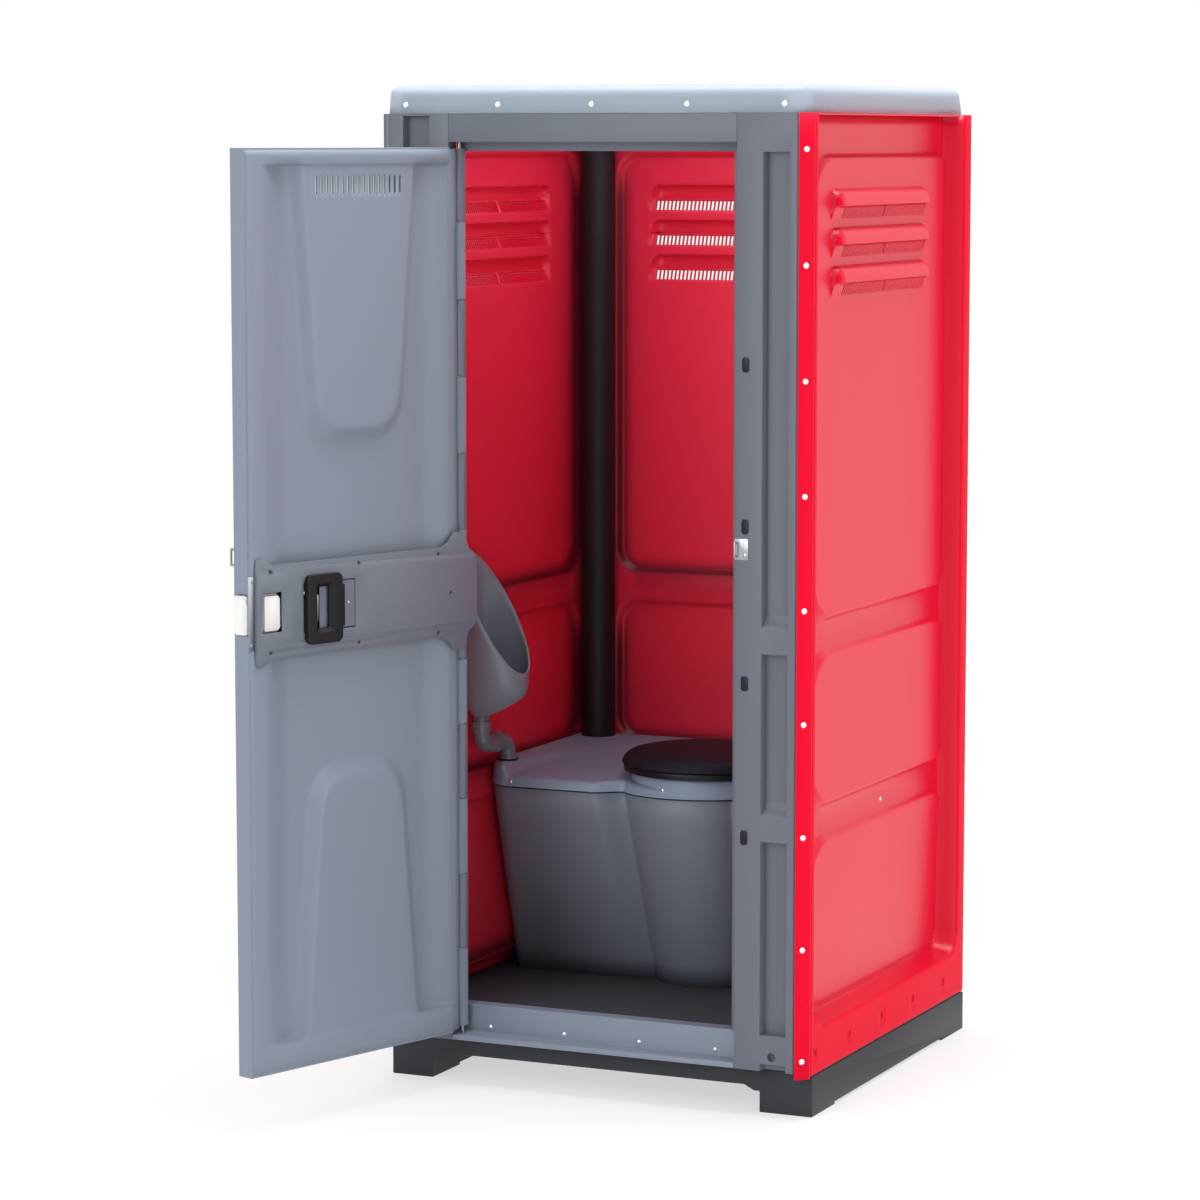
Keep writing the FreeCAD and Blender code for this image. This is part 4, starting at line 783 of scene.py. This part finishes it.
def build_knuckles():
    """The door's hinge knuckles, every second one of the row, with softened ends."""
    round_side = [math.radians(90 + i * 10) for i in range(27)]
    outline = [(knuckle_r * math.cos(a), knuckle_r * math.sin(a)) for a in round_side]
    outline += [(16, -1.5), (16, knuckle_r)]
    eyes = []
    for low, high in list(zip(knuckle_cuts[:-1], knuckle_cuts[1:]))[0::2]:
        low, high = low + 0.4, high - 0.4
        rings = []
        for z, tight in ((low, 0.9), (low + 1.2, 1.0), (high - 1.2, 1.0), (high, 0.9)):
            rings.append([on_door(s * tight, t * tight, z) for s, t in outline])
        eyes.append(loft(rings, cap_first=True, cap_last=True))
    hinge = piece("door_inner_skin_knuckles", eyes, DOOR, "door")
    crisp_from(hinge, 35)
    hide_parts("door_inner_skin")


# Seat ring and lid

def barrel(x, r):
    """A hinge barrel 12 mm long on the lid's axis, with softened ends."""
    return turned([(0.3, x), (r - 1, x), (r, x + 1), (r, x + 11), (r - 1, x + 12), (0.3, x + 12)],
                  (0, lid_axis_y, lid_axis_z), "x", 32)


def build_lid():
    """The crowned lid with its two hinge eyes."""
    profile = [(0.5, 704.4), (199.0, 704.4), (204.0, 704.6), (205.0, 706.0), (203.6, 711.0), (200, 717.0),
               (193, 725.0), (181, 731.2), (160, 735.6), (120, 738.6), (60, 740.0), (0.5, 740.2)]
    parts = [turned(profile, (seat_x, seat_y))]
    for x in (seat_x - 98.0, seat_x + 86.0):
        parts.append(box_points(x, seat_y + 150, 704.5, x + 12, lid_axis_y, lid_axis_z + 10))
        parts.append(barrel(x, 10.0))
    obj = piece("seat_lid_moulding", parts, LID, "lid")
    crisp_from(obj, 50)
    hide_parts("seat_lid")


def build_ring():
    """The seat ring with the two lugs that hold it and the lid's pin."""
    profile = [(116, 688), (116, 699), (118, 702), (122, 703.8), (140, 704), (194, 704), (198.4, 703),
               (200.6, 700.4), (201, 697), (201, 690), (200, 687.2), (197, 686.8), (116, 686.8)]
    parts = [turned(profile, (seat_x, seat_y))]
    for x in (seat_x - 114.0, seat_x + 102.0):
        parts.append(box_points(x, seat_y + 130, 687.5, x + 12, lid_axis_y - 6, 702))
        parts.append(box_points(x, lid_axis_y - 12, 688.2, x + 12, lid_axis_y + 8, lid_axis_z))
        parts.append(barrel(x, 12.0))
    obj = piece("seat_ring_moulding", parts, BLACK, "cabin")
    crisp_from(obj, 50)
    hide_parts("seat_ring")


# The bolt's handle

def door_ring(t, edges, grow, corner):
    """A rounded outline at height t on the door, grown from its edges (s0, z0, s1, z1)."""
    s0, z0, s1, z1 = edges
    return [on_door(s, t, z) for s, z in rounded_outline(s0 - grow, z0 - grow, s1 + grow, z1 + grow, corner)]


def build_handle():
    """The black pull frame of the bolt, with its chamfered finger hole and its tab."""
    outer, hole = (412.0, 1078.0, 518.0, 1233.0), (448.0, 1112.0, 484.0, 1204.0)
    tab = (404.0, 1112.0, 415.0, 1206.0)
    rings = [door_ring(t, outer, grow, corner) for t, grow, corner in
             ((27.4, 0.0, 15.0), (36.8, 0.0, 15.0), (38.4, -0.6, 14.4), (39.0, -2.2, 12.8))]
    rings += [door_ring(t, hole, grow, corner) for t, grow, corner in
              ((39.0, 9.0, 7.0), (38.6, 8.4, 6.4), (32.0, 0.4, 3.0), (27.4, 0.0, 3.0))]
    tab_rings = [door_ring(t, tab, grow, 3.5) for t, grow in ((27.4, 0.0), (36.0, 0.0), (37.5, -1.5))]
    parts = [loft(rings + [rings[0]]), loft(tab_rings, cap_first=True, cap_last=True)]
    obj = piece("latch_handle_moulding", parts, BLACK, "bolt", flip=True)
    even_shading(obj, 50)
    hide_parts("latch_handle")


def build_slide_shield():
    """The grey strip that closes the cover's slot behind the handle, with its screw."""
    back, front = 22.4, 23.7
    corners = ((362.4, 1108.0), (470.0, 1108.0), (470.0, 1212.0), (362.4, 1212.0))
    strip = bar_points(*[[on_door(s, t, z) for s, z in corners] for t in (back, front)])
    plate = piece("latch_slide_shield", [strip], COVER, "bolt", flip=True)
    crisp_from(plate, 30)
    screw = head(on_door(381.0, front, 1162.0), (*inward, 0), 2.6, 1.2)
    piece("latch_slide_screw", [screw], RIVET, "bolt")


# Tank, deck and urinal

def front_curve(x, up):
    """The tank's front seen from above, at share up of its height: two lobes and the pedestal between."""
    foot_and_top = ((45, -120), (60, -80), (4, -135), (112, 136))
    lobe, valley, bulge, reach = (foot + (top - foot) * up for foot, top in foot_and_top)
    off, edge, corner = abs(x - 24.0), tank_half - abs(x), 28.0 + 37.0 * up
    y = lobe + (valley - lobe) * smooth_step(1.0 - abs(off - reach) / 75.0)
    if off < reach:
        y = valley - (valley - bulge) * (1 - (off / reach) ** 2) ** 0.72
    if edge < corner:
        y += corner - math.sqrt(corner ** 2 - (corner - max(edge, 0.0)) ** 2)
    return y


def deck_edge(x):
    """Where the deck's front edge runs."""
    return front_curve(x, 1.0) - 3.0


def deck_height(x, y):
    """The deck's top: a middle that falls to the front, between two raised side tiers."""
    middle = 662.0 + 28.0 * min(max((y + 110.0) / 420.0, 0.0), 1.0)
    inner = -tank_half + 44.0 + 62.0 * smooth_step((y + 60.0) / 380.0)
    tier = smooth_step((inner + 24.0 - x) / 24.0) + smooth_step((x + inner + 24.0) / 24.0)
    return middle + (690.0 - middle) * min(tier, 1.0)


def deck_top(x, inward_by):
    """A point of the deck's top, that far behind its rounded front edge."""
    start = deck_edge(x) + lip_out
    y = start + inward_by
    drop = lip_drop * (1 - math.sqrt(1 - (1 - min(inward_by / lip_back, 1.0)) ** 2))
    return (x, min(y, tank_half - 1.0), deck_height(x, y) - drop)


tank_across = grid_lines((-tank_half, -393, 5), (-393, -200, 12), (-200, 250, 6), (250, 393, 12),
                         (393, tank_half, 5))


def build_tank():
    """The tank's walls, from its foot to the flange under the deck."""
    rear = tank_half - 1.0
    rings = []
    for k in range(9):
        up = k / 8
        z = tank_low + (tank_high - tank_low) * up
        front = [(x, front_curve(x, up), z) for x in tank_across]
        rings.append([(-tank_half, rear, z)] + front + [(tank_half, rear, z)])
    body = piece("waste_tank_moulding", [loft(rings)], TANK, "cabin")
    thicken(body, 5.0, 50)
    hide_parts("waste_tank")


def build_deck():
    """The deck: its overhanging rim, its tiered top, and the collar that the seat sits on."""
    rings = []
    for share, out in ((0.0, 0.0), (0.05, -0.6), (0.5, 2.0), (0.85, 4.0), (1.0, lip_out)):
        ring = []
        for x in tank_across:
            top = deck_height(x, deck_edge(x) + lip_out) - lip_drop
            ring.append((x, deck_edge(x) + out, deck_low + (top - deck_low) * share))
        rings.append(ring)
    steps = [0.0, 0.6, 2.0, 4.0, 7.0, 11.0] + [lip_back + 12.5 * i for i in range(50)]

    def left_out(x, back):
        y = deck_edge(x) + lip_out + back
        return math.hypot(x - seat_x, y - seat_y) < 160 or y > tank_half + 11.0

    parts = [loft(rings, closed=False), patch(tank_across, steps, deck_top, left_out)]
    deck = piece("tank_deck_moulding", parts, DECK, "cabin")
    weld = deck.modifiers.new("rim_joined", "WELD")
    weld.merge_threshold = 0.0001
    thicken(deck, 4.0, 60)
    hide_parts("tank_deck")
    profile = [(182, 640), (182, 678), (181.4, 682), (179.6, 685.2), (176, 686.7), (112, 686.7), (112, 645)]
    obj = piece("tank_deck_collar", [turned(profile, (seat_x, seat_y))], DECK, "cabin")
    crisp_from(obj, 50)
    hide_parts("tank_deck")
    profile = [(20.2, 690.3), (25.5, 690.3), (25.5, 692.0), (23.5, 694.5), (20.2, 695.0)]
    piece("drain_deck_seal", [turned(profile, drain_at)], RUBBER, "cabin")


def build_urinal():
    """The urinal: a half egg with a slanted oval mouth, flat against the wall, drawn down to its drain."""
    mouth, foot = Vector((-393.0, -207.0, 1070.0)), Vector((-446.0, -180.0, 813.0))
    half_length, half_width, mouth_tilt = 163.0, 99.0, 62.0
    rings = []
    for k in range(15):
        u = math.sin(math.pi / 2 * k / 14 * 0.955)
        size = math.sqrt(1 - u * u)
        tilt = math.radians(mouth_tilt * (1 - u ** 1.6))
        centre = mouth.lerp(foot, u ** 1.15)
        long_way = Vector((math.cos(tilt), 0, -math.sin(tilt)))
        a, b = max((half_length - 45.0 * u) * size, drain_r), max(half_width * size, drain_r)
        ring = []
        for i in range(48):
            t = 2 * math.pi * i / 48
            p = centre + long_way * (a * math.cos(t)) + Vector((0, b * math.sin(t), 0))
            ring.append((max(p.x, wall_face), p.y, p.z))
        rings.append(ring)
    bowl = piece("urinal_bowl_moulding", [loft(rings)], URINAL, "cabin", flip=True)
    thicken(bowl, 4.0, 60)
    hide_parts("urinal_bowl")


# Roof sheet

def build_roof():
    """The vacuum-formed roof sheet: a skirt with a slight draft, a sloped edge and a crowned top."""
    skirt = ((0.5, 14.0, 8.0, 0.0, 38.0), (20, 14.8, 11.0, 1.2, 38.0), (44, 16.5, 16.0, 2.6, 38.0))
    slope = ((50, 17.5, 18.5, 3.4, 37.0), (53.5, 19.5, 21.5, 6.0, 35.0), (58.5, 27.0, 29.0, 15.0, 31.0),
             (62.0, 35.0, 37.0, 24.0, 28.0))
    crown = ((63.4, 42.0, 44.0, 32.0, 26.0), (64.8, 150.0, 150.0, 150.0, 20.0),
             (65.6, 380.0, 380.0, 380.0, 10.0))
    rings = []
    for up, side_in, back_in, front_in, corner in skirt + slope + crown:
        outline = rounded_outline(side_in - half, front_in - half, half - side_in, half - back_in, corner, 8)
        rings.append([(x, y, wall_top + up) for x, y in outline])
    obj = piece("roof_sheet", [loft(rings, cap_last=True)], ROOF, "cabin")
    thicken(obj, 3.0, 60)
    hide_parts("roof_cap")


# Stage, light and camera

def background_rays(tree):
    """One for the rays that show the background: from the camera, off gloss or through clear sheet."""
    path = add(tree, "ShaderNodeLightPath")
    either = add(tree, "ShaderNodeMath", {"operation": "MAXIMUM"}, i0=path.outputs["Is Camera Ray"],
                 i1=path.outputs["Is Glossy Ray"])
    return add(tree, "ShaderNodeMath", {"operation": "MAXIMUM"}, i0=either.outputs[0],
               i1=path.outputs["Is Transmission Ray"]).outputs[0]


def stage_floor():
    """A pale studio floor that takes the cabin's shadow and fades to white further out."""
    bpy.ops.mesh.primitive_plane_add(size=60)
    floor = bpy.context.object
    floor.name = "studio_floor"
    material, tree, shader = new_material("studio_floor_paper")
    shader.inputs["Base Color"].default_value = paint("#f4f4f4")
    shader.inputs["Roughness"].default_value = 0.7
    where = add(tree, "ShaderNodeNewGeometry").outputs["Position"]
    reach = add(tree, "ShaderNodeVectorMath", {"operation": "LENGTH"}, Vector=where)
    fade = add(tree, "ShaderNodeMapRange", {"From Min": 1.0, "From Max": 2.6}, Value=reach.outputs["Value"])
    seen = background_rays(tree)
    plain = add(tree, "ShaderNodeMapRange", {"To Min": 0.6, "To Max": 1.0}, Value=fade.outputs[0])
    both = add(tree, "ShaderNodeMath", {"operation": "MULTIPLY"}, i0=plain.outputs[0], i1=seen)
    white = add(tree, "ShaderNodeEmission", {"Color": (1, 1, 1, 1), "Strength": 1.0})
    mix = add(tree, "ShaderNodeMixShader", i0=both.outputs[0], i1=shader.outputs[0], i2=white.outputs[0])
    tree.links.new(mix.outputs[0], tree.nodes["Material Output"].inputs[0])
    dress(floor, material)


def studio_world():
    """White where the camera, gloss or clear sheet looks, and a plain level of light on the cabin."""
    world = bpy.data.worlds.new("studio_world")
    bpy.context.scene.world = world
    world.use_nodes = True
    tree = world.node_tree
    tree.nodes.clear()
    plain = add(tree, "ShaderNodeBackground", {"Color": paint("#ffffff"), "Strength": 0.55})
    white = add(tree, "ShaderNodeBackground", {"Color": (1, 1, 1, 1), "Strength": 1.0})
    seen = background_rays(tree)
    mix = add(tree, "ShaderNodeMixShader", i0=seen, i1=plain.outputs[0], i2=white.outputs[0])
    out = tree.nodes.new("ShaderNodeOutputWorld")
    tree.links.new(mix.outputs[0], out.inputs[0])


def soft_box(name, at, aim, size, watts):
    """A rectangular lamp that looks at a point."""
    lamp = bpy.data.lights.new(name, "AREA")
    lamp.shape = "RECTANGLE"
    lamp.size, lamp.size_y = size
    lamp.energy = watts
    obj = bpy.data.objects.new(name, lamp)
    bpy.context.scene.collection.objects.link(obj)
    obj.location = at
    obj.rotation_euler = (Vector(aim) - Vector(at)).to_track_quat("-Z", "Y").to_euler()


def studio_camera():
    """The photograph's camera, found from the cabin's edges."""
    camera = bpy.data.cameras.new("photo_camera")
    camera.sensor_width = 36.0
    camera.lens = 121.35
    obj = bpy.data.objects.new("photo_camera", camera)
    bpy.context.scene.collection.objects.link(obj)
    obj.location = (3.7925, -8.7861, 2.1885)
    obj.rotation_euler = (math.radians(90 - 6.512), 0, math.radians(24.52))
    bpy.context.scene.camera = obj


# Materials and softened edges for the solids, then the pieces

for name, obj in nodes.items():
    dress(obj, finish_of_slot[slot_of[name]])
    smooth_by_angle(obj, 32)
dress(nodes["base_pallet"], BASE)
dress(nodes["door_sill"], DOOR)
mould_radius = {
    "base_pallet": 4, "left_post": 1.6, "right_post": 1.6, "header_rail": 1.6, "door_sill": 2,
    "latch_case": 1.2, "latch_cover": 1.6, "latch_bolt": 1.6, "jamb_plugs": 1.0, "jamb_staple": 1.2,
    "door_staple": 1.2, "outer_pull": 2.5, "bolt_guide_plate": 0.4, "latch_slide": 0.4,
    "door_outer_skin": 2.0}
for name, radius in mould_radius.items():
    soften_edges(name, radius)
for name in ("drain_tail", "drain_upper_bend", "drain_lower_bend", "vent_pipe"):
    smooth_by_angle(nodes[name], 40)

for build in (build_walls, build_small_rivets, build_shell_rivets, build_inner_screws, build_inner_skin,
              build_knuckles, build_lid, build_ring, build_handle, build_slide_shield, build_tank,
              build_deck, build_urinal, build_roof, stage_floor, studio_world, studio_camera):
    build()
for lamp in (("front_soft_box", (-1.5, -5.5, 3.2), (0, -0.3, 1.2), (3.0, 3.0), 125),
             ("right_soft_box", (5.5, -1.0, 2.4), (0.5, 0, 1.2), (3.0, 3.5), 98),
             ("top_soft_box", (0.2, 0.2, 5.5), (0, 0, 2), (3.0, 3.0), 320),
             ("light_through_roof", (0.02, -0.04, 2.2), (0.02, -0.04, 0), (0.75, 0.75), 1.5)):
    soft_box(*lamp)
bpy.context.scene.view_settings.view_transform = "Standard"
